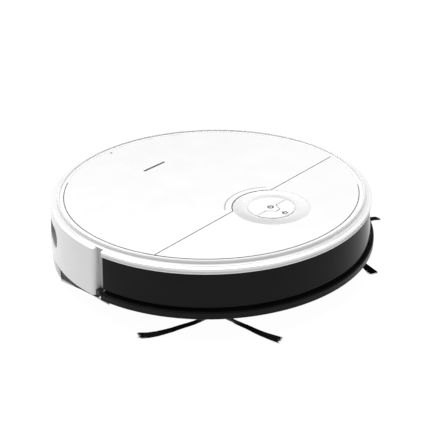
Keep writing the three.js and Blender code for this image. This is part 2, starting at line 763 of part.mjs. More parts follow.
function socketPlate() {
  const plate = ovalRecess(GAP, 12).intersect(disc(0, 0, 0, 90, BODY_R - 7, TURNS));
  const slot = rockerPlace(block(-9, 2, -10.5, 10.5, -7, 7));
  return subtract(plate, slot);
}

// Moves a piece made at the origin, facing +X, to the middle of the oval recess.
function rockerPlace(body) {
  return body.translate([BODY_R - 7, 0, SOCKET.z]).rotate([0, 0, SOCKET.turn]);
}

function powerRocker() {
  const outline = new THREE.Shape();
  outline.moveTo(-3, -5);
  outline.lineTo(1.1, -9.4);
  outline.quadraticCurveTo(-0.2, 0, 2.3, 9.4);
  outline.lineTo(-3, 5);
  outline.closePath();
  return rockerPlace(prism(outline, -6.2, 6.2, 8));
}

// ---- assembly ----

function groupAt(x, y, meshes) {
  const group = new THREE.Group();
  group.position.set(x, y, 0);
  group.add(...meshes);
  return group;
}

function shellGroup() {
  return groupAt(0, 0, [
    paint('chassis_base', chassisBase(), BLACK, 0.55),
    paint('rear_housing', rearHousing(), WHITE, 0.25),
    paint('body_deck', bodyDeck(), 0xe8e8e8, 0.5),
    paint('top_ring', topRing(), WHITE, 0.25),
    paint('front_top_panel', frontTopPanel(), WHITE, 0.2),
    paint('control_ring', controlRing(), 0xdcdddf, 0.35, 0.6),
    paint('control_board', controlBoard(), 0x1d5a38, 0.6),
    paint('main_board', mainBoard(), 0x1d5a38, 0.6),
    paint('battery_pack', batteryPack(), 0x2a4f9a, 0.5),
    paint('battery_door', batteryDoor(), BLACK, 0.6),
    paint('fan_housing', fanHousing(), DARK, 0.5),
    paint('brush_housing', brushHousing(), DARK, 0.5),
    paint('brush_guard', brushGuard(), 0xc23b22, 0.5),
    paint('socket_plate', socketPlate(), DARK, 0.5),
    ...CLIFF_TURNS.map((turn, i) => {
      return paint(`cliff_window_${i + 1}`, cliffPiece(turn, 0, 0.3, 2.6), 0x1a0f14, 0.1);
    }),
  ]);
}

function bumperGroup() {
  return groupAt(0, 0, [
    paint('bumper_trim', bumperTrim(), WHITE, 0.25),
    paint('bumper_band', bumperBand(), BLACK, 0.12),
    paint('bumper_lip', bumperLip(), BLACK, 0.35),
  ]);
}

function buttonGroup() {
  return groupAt(CONTROL.x, 0, [
    paint('power_button', buttonHalf(true), WHITE, 0.25),
    paint('dock_button', buttonHalf(false), WHITE, 0.25),
  ]);
}

function binGroup() {
  return groupAt(0, 0, [
    paint('dust_bin', dustBin(), 0x8f9296, 0.2),
    paint('bin_cover', binCover(), 0xd8d9da, 0.4),
    paint('bin_handle', binHandle(), GREY, 0.4),
    paint('bin_filter', binFilter(), 0xf0eee6, 0.9),
    paint('inlet_flap', inletFlap(), BLACK, 0.8),
  ]);
}

function tankGroup() {
  return groupAt(0, 0, [
    paint('water_tank', waterTank(), GREY, 0.15),
    paint('tank_cap', tankCap(), DARK, 0.6),
    paint('tank_release', tankRelease(), 0x9a9da1, 0.4),
    paint('mop_cloth', mopCloth(), 0x8ea3b5, 0.95),
  ]);
}

function sidePieces(side) {
  const label = side > 0 ? 'left' : 'right';
  const wheel = [
    [`${label}_wheel_case`, wheelCase(), DARK, 0.6, 0],
    [`${label}_wheel_spring`, wheelSpring(), STEEL, 0.3, 0.9],
    [`${label}_swing_arm`, swingArm(), GREY, 0.5, 0],
    [`${label}_wheel_hub`, wheelHub(), 0xb8babd, 0.5, 0],
    [`${label}_tyre`, tyre(), BLACK, 0.85, 0],
  ].map(([name, body, ...look]) => paint(name, mirrorY(body, side), ...look));
  const brush = groupAt(SIDE_BRUSH.x, side * SIDE_BRUSH.y, [
    paint(`${label}_brush_motor`, sideBrushMotor(), DARK, 0.6),
    paint(`${label}_brush_hub`, sideBrushHub(), GREY, 0.5),
    paint(`${label}_brush_bristles`, sideBrushBristles(side), BLACK, 0.8),
  ]);
  return [
    ...wheel,
    brush,
    paint(`${label}_charging_contact`, chargingContact(side), 0xc9a35a, 0.25, 1),
    paint(`${label}_bumper_switch`, bumperSwitch(side), DARK, 0.5),
  ];
}

function casterGroup() {
  return groupAt(CASTER.x, 0, [
    paint('caster_fork', casterFork(), DARK, 0.5),
    paint('caster_wheel', casterWheel(), 0xdedede, 0.5),
  ]);
}

const robotVacuum = new THREE.Group();
robotVacuum.add(
  shellGroup(),
  paint('bin_lid', binLid(), WHITE, 0.2),
  bumperGroup(),
  buttonGroup(),
  binGroup(),
  tankGroup(),
  ...sidePieces(1),
  ...sidePieces(-1),
  casterGroup(),
  paint('caster_socket', casterSocket(), DARK, 0.6),
  paint('power_rocker', powerRocker(), 0xb03024, 0.4),
  paint('fan_wheel', fanWheel(), GREY, 0.4),
  paint('roller_core', rollerCore(), 0xb03024, 0.5),
  paint('roller_bristles', rollerBristles(), 0x3a3c40, 0.8),
  gearbox('main_brush_gearbox', { x0: 48, x1: 76, y0: 92.2, y1: 95.7, z0: 11, z1: 42 }),
);

export default robotVacuum;
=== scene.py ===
"""Robot vacuum: the looks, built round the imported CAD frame. Metres, +X forwards, +Z up."""

import json
from random import Random
from math import acos, atan2, cos, hypot, pi, radians, sin, sqrt, tau

import bmesh
import bpy
from mathutils import Matrix, Vector


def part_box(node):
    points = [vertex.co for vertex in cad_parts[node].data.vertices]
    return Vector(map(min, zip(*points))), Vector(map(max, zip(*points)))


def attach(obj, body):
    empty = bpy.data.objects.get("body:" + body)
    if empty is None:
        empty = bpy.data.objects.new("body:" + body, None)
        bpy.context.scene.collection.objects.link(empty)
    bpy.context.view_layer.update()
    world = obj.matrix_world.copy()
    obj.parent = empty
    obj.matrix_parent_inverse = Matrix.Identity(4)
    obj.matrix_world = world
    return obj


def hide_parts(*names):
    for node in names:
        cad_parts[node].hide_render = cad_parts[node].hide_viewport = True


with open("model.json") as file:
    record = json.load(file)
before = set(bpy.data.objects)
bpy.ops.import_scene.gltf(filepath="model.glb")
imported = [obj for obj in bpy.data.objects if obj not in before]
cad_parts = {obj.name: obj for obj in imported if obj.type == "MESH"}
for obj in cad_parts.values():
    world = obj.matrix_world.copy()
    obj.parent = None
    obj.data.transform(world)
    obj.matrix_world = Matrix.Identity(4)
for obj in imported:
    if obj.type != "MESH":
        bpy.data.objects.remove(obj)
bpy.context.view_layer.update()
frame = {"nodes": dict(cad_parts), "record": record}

MM = 0.001

# ---- sizes that the outer pieces share, in millimetres, as in the CAD model ----

BODY_R = 174.5
EDGE_R, EDGE_Z, FLANGE_Z = 170.5, 71.0, 73.4
RING_IN_R, RING_OUT_R, RING_TOP_Z = 156.9, 163.1, 76.3
PANEL_R, PANEL_TOP_Z, PANEL_T = 156.15, 74.5, 2.2
SEAM_X, SEAM_GAP = 55.6, 0.9
TRIM_FOOT_R, TRIM_FOOT_Z = 168.5, 65.9
BAND_FOOT_R, BAND_FOOT_Z = 171.0, 29.8
LIP_R, LIP_TOP_Z, LIP_FOOT_Z = 175.0, 29.5, 21.6
BUMPER_END, BUMPER_IN_R = radians(87.2), 166.5
CONTROL_X, CONTROL_OUT_R, CONTROL_IN_R, BUTTON_R = 80.0, 39.6, 24.3, 23.8
BASE_Z, BASE_FLOOR_R = 7.0, 146.0
SIDE_BRUSH = (97.4, 103.5)
WHEEL_X, WHEEL_Y, WHEEL_R = -15.0, 112.0, 33.0
TANK_X = -66.0
SOCKET_TURN, SOCKET_Z, SOCKET_W, SOCKET_H = radians(-122), 48.0, 43.0, 22.5
SIDES = ((1, "left"), (-1, "right"))


# ---- node helpers ----

NOISE_SPAN = (0.3, 0.7)   # the part of a noise texture's range that roughness follows
TINT_SPAN = (0.35, 0.65)  # and that colour follows


class Mat:
    """A Principled material with short calls for procedural detail."""

    def __init__(self, name, color, rough=0.5, metal=0.0, **sockets):
        self.name = name
        self.mat = bpy.data.materials.new(name)
        self.mat.use_nodes = True
        self.nodes = self.mat.node_tree.nodes
        self.links = self.mat.node_tree.links
        self.bsdf = self.nodes["Principled BSDF"]
        self.bsdf.inputs["Base Color"].default_value = (*color, 1)
        self.bsdf.inputs["Roughness"].default_value = rough
        self.bsdf.inputs["Metallic"].default_value = metal
        for label, value in sockets.items():
            self.bsdf.inputs[label.replace("_", " ")].default_value = value
        self.coords = self.nodes.new("ShaderNodeTexCoord").outputs["Object"]
        self.normal = None

    def node(self, kind, **values):
        made = self.nodes.new(kind)
        for label, value in values.items():
            if hasattr(made, label):
                setattr(made, label, value)
            else:
                made.inputs[label.replace("_", " ")].default_value = value
        return made

    def noise(self, scale, detail=3.0, stretch=(1, 1, 1)):
        place = self.node("ShaderNodeMapping")
        place.inputs["Scale"].default_value = stretch
        self.links.new(self.coords, place.inputs["Vector"])
        grain = self.node("ShaderNodeTexNoise", Scale=scale, Detail=detail)
        self.links.new(place.outputs["Vector"], grain.inputs["Vector"])
        return grain.outputs["Fac"]

    def remap(self, source, low, high):
        made = self.node("ShaderNodeMapRange")
        made.inputs["From Min"].default_value, made.inputs["From Max"].default_value = NOISE_SPAN
        made.inputs["To Min"].default_value = low
        made.inputs["To Max"].default_value = high
        self.links.new(source, made.inputs["Value"])
        return made.outputs["Result"]

    def rough_variation(self, scale, low, high, stretch=(1, 1, 1)):
        self.links.new(self.remap(self.noise(scale, 4, stretch), low, high), self.bsdf.inputs["Roughness"])
        return self

    def bump(self, source, strength, distance):
        made = self.node("ShaderNodeBump", Strength=strength, Distance=distance)
        self.links.new(source, made.inputs["Height"])
        if self.normal:
            self.links.new(self.normal, made.inputs["Normal"])
        self.normal = made.outputs["Normal"]
        self.links.new(self.normal, self.bsdf.inputs["Normal"])
        return self

    def grain(self, scale, strength, distance=0.00005, stretch=(1, 1, 1)):
        return self.bump(self.noise(scale, 5, stretch), strength, distance)

    def tint(self, scale, color_a, color_b, stretch=(1, 1, 1)):
        ramp = self.node("ShaderNodeValToRGB")
        for stop, place, color in zip(ramp.color_ramp.elements, TINT_SPAN, (color_a, color_b)):
            stop.position, stop.color = place, (*color, 1)
        self.links.new(self.noise(scale, 4, stretch), ramp.inputs["Fac"])
        self.links.new(ramp.outputs["Color"], self.bsdf.inputs["Base Color"])
        return self


def grey(value):
    return (value, value, value)


def make_materials():
    """Every material of the object, by the record's slot name."""
    silver = Mat("silver_ring", (0.68, 0.68, 0.69), 0.3, 0.12, Anisotropic=0.75)
    tangent = silver.node("ShaderNodeTangent", direction_type="RADIAL", axis="Z")
    silver.links.new(tangent.outputs["Tangent"], silver.bsdf.inputs["Tangent"])
    every = [
        silver.rough_variation(700, 0.26, 0.36, (1, 1, 20)).tint(30, grey(0.66), grey(0.7)),
        Mat("shell_white", grey(0.87), 0.24, Coat_Weight=0.25, Coat_Roughness=0.08)
        .tint(9, grey(0.865), grey(0.885)).rough_variation(40, 0.2, 0.28).grain(2500, 0.05),
        Mat("deck_white", grey(0.74), 0.5)
        .tint(20, grey(0.72), grey(0.76)).rough_variation(60, 0.45, 0.6).grain(1800, 0.2),
        Mat("band_black", (0.010, 0.010, 0.0105), 0.1, Specular_IOR_Level=0.06)
        .tint(14, grey(0.011), grey(0.014)).rough_variation(30, 0.08, 0.15).grain(1200, 0.02),
        Mat("lip_black", grey(0.008), 0.26, Specular_IOR_Level=0.1)
        .tint(30, grey(0.006), grey(0.01)).rough_variation(90, 0.26, 0.38).grain(2200, 0.15),
        Mat("base_black", grey(0.022), 0.55)
        .tint(18, grey(0.018), grey(0.026)).rough_variation(50, 0.48, 0.62).grain(1500, 0.5, 0.0001),
        Mat("dark_plastic", grey(0.05), 0.5)
        .tint(25, grey(0.042), grey(0.056)).rough_variation(60, 0.42, 0.58).grain(1700, 0.35, 0.00008),
        Mat("grey_plastic", (0.25, 0.26, 0.27), 0.45).tint(25, (0.235, 0.245, 0.255), (0.265, 0.275, 0.285))
        .rough_variation(60, 0.38, 0.52).grain(1700, 0.25),
        Mat("tank_smoke", (0.23, 0.24, 0.26), 0.14, Transmission_Weight=0.35, Coat_Weight=0.4)
        .tint(12, (0.20, 0.21, 0.23), (0.26, 0.27, 0.29)).rough_variation(40, 0.1, 0.2).grain(900, 0.04),
        Mat("bin_clear", (0.30, 0.31, 0.33), 0.16, Transmission_Weight=0.4)
        .tint(12, (0.27, 0.28, 0.30), (0.33, 0.34, 0.36)).rough_variation(40, 0.12, 0.22).grain(900, 0.04),
        Mat("accent_red", (0.55, 0.06, 0.03), 0.42)
        .tint(25, (0.5, 0.05, 0.025), (0.6, 0.07, 0.035)).rough_variation(60, 0.36, 0.5).grain(1700, 0.3),
        Mat("circuit_green", (0.02, 0.15, 0.07), 0.4)
        .tint(300, (0.015, 0.12, 0.05), (0.03, 0.2, 0.09)).rough_variation(200, 0.3, 0.6).grain(900, 0.3),
        Mat("battery_blue", (0.05, 0.12, 0.45), 0.35)
        .tint(15, (0.045, 0.11, 0.4), (0.06, 0.14, 0.5)).rough_variation(50, 0.25, 0.45).grain(400, 0.3),
        Mat("steel", grey(0.6), 0.28, 1.0)
        .tint(80, grey(0.55), grey(0.65)).rough_variation(300, 0.2, 0.36).grain(2000, 0.1),
        Mat("contact_metal", (0.78, 0.66, 0.38), 0.24, 1.0).tint(80, (0.74, 0.62, 0.34), (0.82, 0.7, 0.42))
        .rough_variation(400, 0.18, 0.32, (8, 1, 1)).grain(2500, 0.15, stretch=(8, 1, 1)),
        Mat("skirt_grey", grey(0.7), 0.4)
        .tint(30, grey(0.67), grey(0.73)).rough_variation(70, 0.34, 0.46).grain(1600, 0.2),
        Mat("caster_grey", grey(0.5), 0.5)
        .tint(40, grey(0.46), grey(0.54)).rough_variation(80, 0.42, 0.6).grain(1500, 0.3),
        Mat("tyre_rubber", grey(0.02), 0.78)
        .tint(50, grey(0.016), grey(0.026)).rough_variation(120, 0.7, 0.88).grain(1300, 0.6, 0.0001),
        Mat("bristle_black", grey(0.006), 0.5, Specular_IOR_Level=0.2)
        .tint(200, grey(0.004), grey(0.009)).rough_variation(300, 0.35, 0.5).grain(2500, 0.4),
        Mat("roller_grey", (0.06, 0.065, 0.07), 0.6)
        .tint(200, grey(0.045), grey(0.08)).rough_variation(200, 0.5, 0.72).grain(1800, 0.5),
        Mat("filter_paper", (0.85, 0.84, 0.78), 0.9).tint(200, (0.8, 0.79, 0.73), (0.88, 0.87, 0.82))
        .rough_variation(200, 0.85, 0.95).grain(2500, 0.6, 0.0001),
        Mat("sensor_window", (0.03, 0.008, 0.012), 0.08, Coat_Weight=0.7)
        .tint(60, (0.026, 0.007, 0.01), (0.034, 0.009, 0.014)).rough_variation(60, 0.06, 0.12)
        .grain(1500, 0.05),
        Mat("print_grey", grey(0.04), 0.4)
        .tint(400, grey(0.03), grey(0.05)).rough_variation(300, 0.35, 0.45).grain(2500, 0.1),
        mop_material(),
    ]
    return {made.name: made.mat for made in every}


def mop_material():
    """Microfibre: short loops in rows."""
    made = Mat("mop_fabric", (0.3, 0.4, 0.5), 0.92, Sheen_Weight=0.5, Sheen_Roughness=0.5)
    made.tint(350, (0.24, 0.33, 0.43), (0.38, 0.48, 0.58))
    rows = made.node("ShaderNodeTexWave", Scale=120.0, Distortion=3.0, Detail=3.0)
    made.links.new(made.coords, rows.inputs["Vector"])
    made.bump(rows.outputs["Fac"], 0.6, 0.0006)
    return made.grain(900, 0.7, 0.0004)


# ---- mesh helpers: sizes in millimetres, turned into metres when the mesh is made ----

def fillet(points, steps=4):
    """A closed outline of (x, y) or (x, y, corner radius) points, with its corners rounded."""
    outline = []
    for i, (x, y, *rest) in enumerate(points):
        corner = Vector((x, y))
        if not rest:
            outline.append((x, y))
            continue
        before = Vector(points[i - 1][:2]) - corner
        after = Vector(points[(i + 1) % len(points)][:2]) - corner
        half = before.angle(after) / 2
        along = min(rest[0] / (sin(half) / cos(half)), 0.49 * before.length, 0.49 * after.length)
        radius = along * sin(half) / cos(half)
        middle = corner + (before.normalized() + after.normalized()).normalized() * radius / sin(half)
        first = corner + before.normalized() * along - middle
        last = corner + after.normalized() * along - middle
        start = atan2(first.y, first.x)
        sweep = (atan2(last.y, last.x) - start + pi) % tau - pi
        for k in range(steps + 1):
            turn = start + sweep * k / steps
            outline.append((middle.x + radius * cos(turn), middle.y + radius * sin(turn)))
    return outline


def arc(cx, cy, r, start, end, steps):
    return [(cx + r * cos(start + (end - start) * i / steps), cy + r * sin(start + (end - start) * i / steps))
            for i in range(steps + 1)]


WELD = 1e-7  # metres


def tidy(bm):
    bmesh.ops.remove_doubles(bm, verts=bm.verts, dist=WELD)
    bmesh.ops.dissolve_degenerate(bm, edges=bm.edges, dist=WELD)
    bmesh.ops.recalc_face_normals(bm, faces=bm.faces)
    return bm


def skin(bm, rings, closed=False):
    """Faces between neighbouring rings of vertices, and over the end rings unless the last meets the first."""
    for low, high in zip(rings, rings[1:] + rings[:1] if closed else rings[1:]):
        for i in range(len(low)):
            k = (i + 1) % len(low)
            bm.faces.new((low[i], high[i], high[k], low[k]))
    if not closed:
        bm.faces.new(rings[0])
        bm.faces.new(rings[-1])
    return bm


def lathe(profile, start=0.0, end=tau, steps=240, centre=(0, 0)):
    """A closed (radius, z) profile turned about Z, or about an upright axis through centre."""
    bm = bmesh.new()
    whole = end - start > tau - 1e-6
    x, y = centre
    columns = []
    for i in range(steps if whole else steps + 1):
        turn = start + (end - start) * i / steps
        columns.append([bm.verts.new(((x + r * cos(turn)) * MM, (y + r * sin(turn)) * MM, z * MM))
                        for r, z in profile])
    return tidy(skin(bm, columns, whole))


def raise_outline(outline, z0, z1):
    """A flat outline of (x, y) points made solid from z0 to z1."""
    bm = bmesh.new()
    rings = [[bm.verts.new((x * MM, y * MM, z * MM)) for x, y in outline] for z in (z0, z1)]
    count = len(outline)
    for i in range(count):
        k = (i + 1) % count
        bm.faces.new((rings[0][i], rings[0][k], rings[1][k], rings[1][i]))
    for ring in rings:
        bm.faces.new(ring)
    return tidy(bm)


def box(x0, x1, y0, y1, z0, z1):
    return raise_outline([(x0, y0), (x1, y0), (x1, y1), (x0, y1)], z0, z1)


def round_bar(length, r, steps=32, edge=0.4):
    """A bar along Z from 0 to length, with rounded ends."""
    return lathe(fillet([(0, 0), (r, 0, edge), (r, length, edge), (0, length)], 3), steps=steps)


def capsule_outline(width, height, r=None, steps=12):
    r = min(width, height) / 2 if r is None else r
    a, b = width / 2 - r, height / 2 - r
    corners = [(a, b, 0), (-a, b, pi / 2), (-a, -b, pi), (a, -b, 1.5 * pi)]
    return [p for x, y, turn in corners for p in arc(x, y, r, turn, turn + pi / 2, steps)]


def shift(bm, x=0.0, y=0.0, z=0.0, turn=0.0, axis="Z"):
    """Turns a mesh about an axis through the origin, then moves it."""
    bm.transform(Matrix.Translation(Vector((x, y, z)) * MM) @ Matrix.Rotation(turn, 4, axis))
    return bm


def join(*parts):
    whole = bmesh.new()
    for part in parts:
        mesh = bpy.data.meshes.new("part")
        part.to_mesh(mesh)
        part.free()
        whole.from_mesh(mesh)
        bpy.data.meshes.remove(mesh)
    return whole


def clip(bm, point, normal):
    """Keeps what lies behind a plane, and closes the cut."""
    geom = bm.verts[:] + bm.edges[:] + bm.faces[:]
    place = Vector(point) * MM
    cut = bmesh.ops.bisect_plane(bm, geom=geom, plane_co=place, plane_no=Vector(normal), clear_outer=True)
    edges = [e for e in cut["geom_cut"] if isinstance(e, bmesh.types.BMEdge)]
    bmesh.ops.triangle_fill(bm, edges=edges, use_beauty=True)
    return tidy(bm)


def to_object(name, bm):
    mesh = bpy.data.meshes.new(name)
    bm.to_mesh(mesh)
    bm.free()
    obj = bpy.data.objects.new(name, mesh)
    bpy.context.scene.collection.objects.link(obj)
    return obj


def carve(bm, *cutters):
    """Cuts solids out of a mesh with the exact boolean."""
    target = to_object("carved", bm)
    tools = [to_object("cutter", cutter) for cutter in cutters]
    for tool in tools:
        made = target.modifiers.new("cut", "BOOLEAN")
        made.operation, made.solver, made.object = "DIFFERENCE", "EXACT", tool
    shape = target.evaluated_get(bpy.context.evaluated_depsgraph_get())
    result = bmesh.new()
    result.from_mesh(shape.to_mesh())
    for obj in [target, *tools]:
        bpy.data.meshes.remove(obj.data)
    bmesh.ops.remove_doubles(result, verts=result.verts, dist=2 * WELD)
    return result


def piece(name, bm, look, body="chassis", stands_for=(), edge=0.0, angle=32, at=(0, 0, 0)):
    """A finished piece: smooth shaded, edges rounded by `edge` mm, riding on its body."""
    obj = to_object(name, bm)
    obj.location = Vector(at) * MM
    obj.data.materials.append(LOOK[look])
    dress(obj, edge, angle)
    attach(obj, body)
    if stands_for:
        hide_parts(*([stands_for] if isinstance(stands_for, str) else stands_for))
    return obj


def dress(obj, edge, angle=32):
    """Smooth shading, with rounded edges where faces meet at more than `angle` degrees."""
    obj.data.polygons.foreach_set("use_smooth", [True] * len(obj.data.polygons))
    if obj.name not in frame["nodes"]:
        obj.data.set_sharp_from_angle(angle=radians(angle))
    if edge:
        rounding = obj.modifiers.new("rounded_edges", "BEVEL")
        rounding.width = edge * MM
        rounding.segments = 3
        rounding.limit_method = "ANGLE"
        rounding.angle_limit = radians(angle)
        rounding.harden_normals = True
    weigh = obj.modifiers.new("even_shading", "WEIGHTED_NORMAL")
    weigh.keep_sharp = True


# ---- body shell ----

def shoulder(inner_r, inner_z, steps=10):
    """The concave shoulder from under the raised ring out to the sharp edge of the rim."""
    points = []
    for i in range(steps + 1):
        t = i / steps
        sag = 0.3 * sin(pi * t) * (1 - t)
        points.append((inner_r + t * (EDGE_R - inner_r), inner_z + t * (EDGE_Z - inner_z) - sag))
    return points


def build_ring():
    flange = [(148, 70.2), (157, 70.2), (157, 73.6), (161.9, 73.6)]
    skirt = [(163.1, 73.15), (165, 72.55), (166.3, 72.2), (166.3, 72.27), (165.3, 72.66), (164.3, 73.0),
             (163.6, 73.5), (163.3, 74.3)]
    crest = [(RING_OUT_R, 75.6, 0.3), (162.4, RING_TOP_Z, 0.5), (161.3, RING_TOP_Z, 0.4)]
    step = [(160.7, 75.7, 0.2), (160.4, 74.75, 0.2), (RING_IN_R + 0.4, 74.6, 0.2), (RING_IN_R, 74.3),
            (RING_IN_R, 72), (148, 72)]
    ring = lathe(fillet(flange + skirt + crest + step))
    piece("raised_ring", ring, "shell_white", stands_for="top_ring", angle=50)
    build_seam_shade_strips()


SHADE_STRIP_IN_R, SHADE_STRIP_OUT_R, SHADE_STRIP_FOOT_Z, SHADE_STRIP_TOP_Z = 156.2, 156.88, 72.5, 74.36
SHADE_STRIP_START, SHADE_STRIP_FADE, SHADE_STRIP_FADE_END, REAR_SHADE_STRIP_END = radians(-145), radians(12), radians(40), radians(214.8)
FRONT_TURN, FRONT_SPREAD = radians(-49), radians(62)  # the middle of the dark strip's wider front lip, painted seam shade, and its reach


def shade_strip_profile(in_r, out_r, top):
    return [(in_r, SHADE_STRIP_FOOT_Z), (out_r, SHADE_STRIP_FOOT_Z), (out_r, top), (in_r, top)]


def build_seam_shade_strips():
    """Dark rubber strips just below the surface in the seams round the panels and behind the control disc:
    painted shade that darkens the seam lines. A pale grey strip in the rest of the rim seam paints a fainter
    line.
    """
    profile = shade_strip_profile(SHADE_STRIP_IN_R, SHADE_STRIP_OUT_R, SHADE_STRIP_TOP_Z)
    gap = radians(0.2)
    # Painted seam shade: the dark strip round the rim. Past the fade's start its top sinks by up to 0.7 mm.
    rim = lathe(profile, SHADE_STRIP_START, SHADE_STRIP_FADE, 160)
    fade = lathe(profile, SHADE_STRIP_FADE + gap, SHADE_STRIP_FADE_END, 56)
    for vert in fade.verts:
        if vert.co.z > 74 * MM:
            sunk = min((atan2(vert.co.y, vert.co.x) - SHADE_STRIP_FADE) / radians(22), 1)
            vert.co.z -= 0.7 * MM * sunk * sunk
    far_side = []
    for i in range(-60, 61):
        turn, far = FRONT_TURN + FRONT_SPREAD * i / 60, 156.95 + 0.95 * cos(pi / 2 * i / 60)
        far_side.append((far * cos(turn), far * sin(turn)))
    near_side = arc(0, 0, 156.7, FRONT_TURN + FRONT_SPREAD, FRONT_TURN - FRONT_SPREAD, 120)
    # Painted seam shade: a wider dark lip at the front of the rim.
    lip = raise_outline(far_side + near_side, 74.3, 74.65)
    top = 74.4
    rim_half = sqrt(PANEL_R ** 2 - SEAM_X ** 2)
    disc_half = sqrt(CONTROL_OUT_R ** 2 - (CONTROL_X - SEAM_X) ** 2)
    # Painted seam shade along the straight seam and behind the control disc.
    strips = [side_slab(SEAM_X - 0.42, SEAM_X + 0.42, disc_half + 0.4, rim_half, side, SHADE_STRIP_FOOT_Z, top)
              for side in (1, -1)]
    seam_turn = acos((SEAM_X - CONTROL_X) / (CONTROL_OUT_R + 0.2))
    back = lathe(shade_strip_profile(CONTROL_OUT_R + 0.03, CONTROL_OUT_R + 0.82, top), seam_turn, tau - seam_turn, 80,
                 (CONTROL_X, 0))
    piece("seam_shade_strips", join(rim, fade, lip, back, *strips), "tyre_rubber")
    # A pale grey strip fills the rest of the rim groove: fainter painted seam shade.
    rear_rim = lathe(shade_strip_profile(SHADE_STRIP_IN_R, SHADE_STRIP_OUT_R, 74.25), SHADE_STRIP_FADE_END + gap, REAR_SHADE_STRIP_END, 160)
    piece("rear_rim_faint_shade_strip", rear_rim, "deck_white")


def seam_outline(front):
    """The outline of the front panel or of the lid: the rim, the straight seam and the control disc."""
    x = SEAM_X + (SEAM_GAP / 2 if front else -SEAM_GAP / 2)
    gap_r = CONTROL_OUT_R + (0.02 if front else 0.85)
    rim_turn = acos(x / PANEL_R)
    disc_turn = acos((x - CONTROL_X) / gap_r)
    if front:
        rim = arc(0, 0, PANEL_R, -rim_turn, rim_turn, 120)
        return rim + arc(CONTROL_X, 0, gap_r, disc_turn, -disc_turn, 72)
    rim = arc(0, 0, PANEL_R, rim_turn, tau - rim_turn, 200)
    return rim + arc(CONTROL_X, 0, gap_r, tau - disc_turn, disc_turn, 48)


STATUS_PLACE = (-151.7, -2.7)


def build_top_panels():
    bottom = PANEL_TOP_Z - PANEL_T
    front = raise_outline(seam_outline(True), bottom, PANEL_TOP_Z)
    piece("front_panel", front, "shell_white", stands_for="front_top_panel", edge=0.25)
    lid = carve(raise_outline(seam_outline(False), bottom, PANEL_TOP_Z),
                shift(round_bar(6, 1.4, edge=0), *STATUS_PLACE, 70))
    piece("lid_panel", lid, "shell_white", "lid", "bin_lid", edge=0.25)
    lens = shift(round_bar(1.6, 1.25, 24, 0.3), *STATUS_PLACE, 72.7)
    piece("lid_status_lens", lens, "sensor_window", "lid")
    build_lid_underside(bottom)
    build_prints()


def build_lid_underside(bottom):
    """Low stiffening ribs under the lid, across it and along it."""
    height = (bottom - 0.22, bottom + 0.1)
    ribs = [box(-140 + i * 32, -139 + i * 32, -60, 60, *height) for i in range(5)]
    ribs += [box(-140, 30, y - 0.5, y + 0.5, *height) for y in (-48, 0, 48)]
    piece("lid_ribs", join(*ribs), "shell_white", "lid")


def build_prints():
    """Plain printed marks: a ring of fine ticks round the disc's rear, and a blank pill near the tail."""
    ink = (PANEL_TOP_Z - 0.05, PANEL_TOP_Z + 0.02)
    ticks = []
    for i in range(47):
        turn = pi + radians(-46 + 2 * i)
        ticks.append(shift(shift(box(-0.8, 0.8, -0.38, 0.38, *ink), 47.4), turn=turn))
    piece("tick_ring_print", shift(join(*ticks), CONTROL_X), "print_grey", "lid")
    pill = raise_outline(capsule_outline(3.2, 34), *ink)
    piece("tail_print", shift(pill, -84.5), "print_grey", "lid")


HOUSING_TIP, HOUSING_ROUND, HOUSING_WALL = -0.8, 4.6, 2.2
FLANGE_R = RING_OUT_R - 1.2
# The grey lower edge from the tail to the notch: (x, distance from the middle plane, z).
LOWER_EDGE = [(-64.8, 161, 8.9), (-51.3, 164.6, 12.3), (-36, 168.6, 15.9), (-24.5, 171, 18.6),
              (-12, 172.4, 19.9), (3, 173.2, 20.4), (10, 173.4, 19.9), (18, 172.9, 18.9)]


def build_rear_housing():
    wall = HOUSING_WALL
    profile = fillet([(157.5, 72.6)] + shoulder(FLANGE_R, FLANGE_Z)[:-1]
                     + [(EDGE_R, EDGE_Z, 0.35), (BODY_R, LIP_FOOT_Z, 0.6), (161.8, LIP_FOOT_Z),
                        (161.8, LIP_FOOT_Z + 2), (BODY_R - wall, LIP_FOOT_Z + 2), (EDGE_R - wall, 67.8),
                        (157.5, 70.2)])
    shell_end = acos((HOUSING_TIP - HOUSING_ROUND) / BODY_R)
    shell = lathe(profile, shell_end, tau - shell_end, 160)
    hole = raise_outline(capsule_outline(SOCKET_W, SOCKET_H, steps=16), 0, 14)
    shell = carve(shell, to_recess(hole, BODY_R - 10))
    piece("rear_shell", shell, "shell_white", stands_for="rear_housing", edge=0.35)
    for side, label in SIDES:
        build_housing_end(side, label)
        build_apron(side, label)


def build_housing_end(side, label):
    """The rear shell's solid end, rounded into the notch beside the bumper, and the notch's wall and foot. The
    wall is mid grey, painted shade for the narrow notch.
    """
    outside = [p for p in shoulder(FLANGE_R, FLANGE_Z) if p[0] > 165] + [(BODY_R, LIP_FOOT_Z)]
    bm = bmesh.new()
    columns = []
    for k in range(11):
        turn = 0.05 * pi * k
        x = HOUSING_TIP - HOUSING_ROUND + HOUSING_ROUND * sin(turn)
        drop = HOUSING_ROUND * (1 - cos(turn))
        rounded = [(max(164.6, r - drop), z) for r, z in outside]
        profile = [(164.2, outside[0][1])] + rounded + [(164.2, LIP_FOOT_Z)]
        place = acos(x / BODY_R)
        across, along = side * sin(place) * MM, cos(place) * MM
        columns.append([bm.verts.new((r * along, r * across, z * MM)) for r, z in profile])
    piece(f"{label}_shell_end", tidy(skin(bm, columns)), "shell_white", edge=0.2)
    wall = side_slab(-3, 12, 158, 165.6, side, 21.8, 71.6)
    foot = side_slab(-1.6, 3.2, 160, 171.6, side, 20.9, 27.2)
    # The notch wall's mid grey is painted shade, darkening the narrow notch.
    piece(f"{label}_notch_shade_wall", wall, "caster_grey", edge=0.4)
    piece(f"{label}_notch_foot", foot, "dark_plastic", edge=0.4)


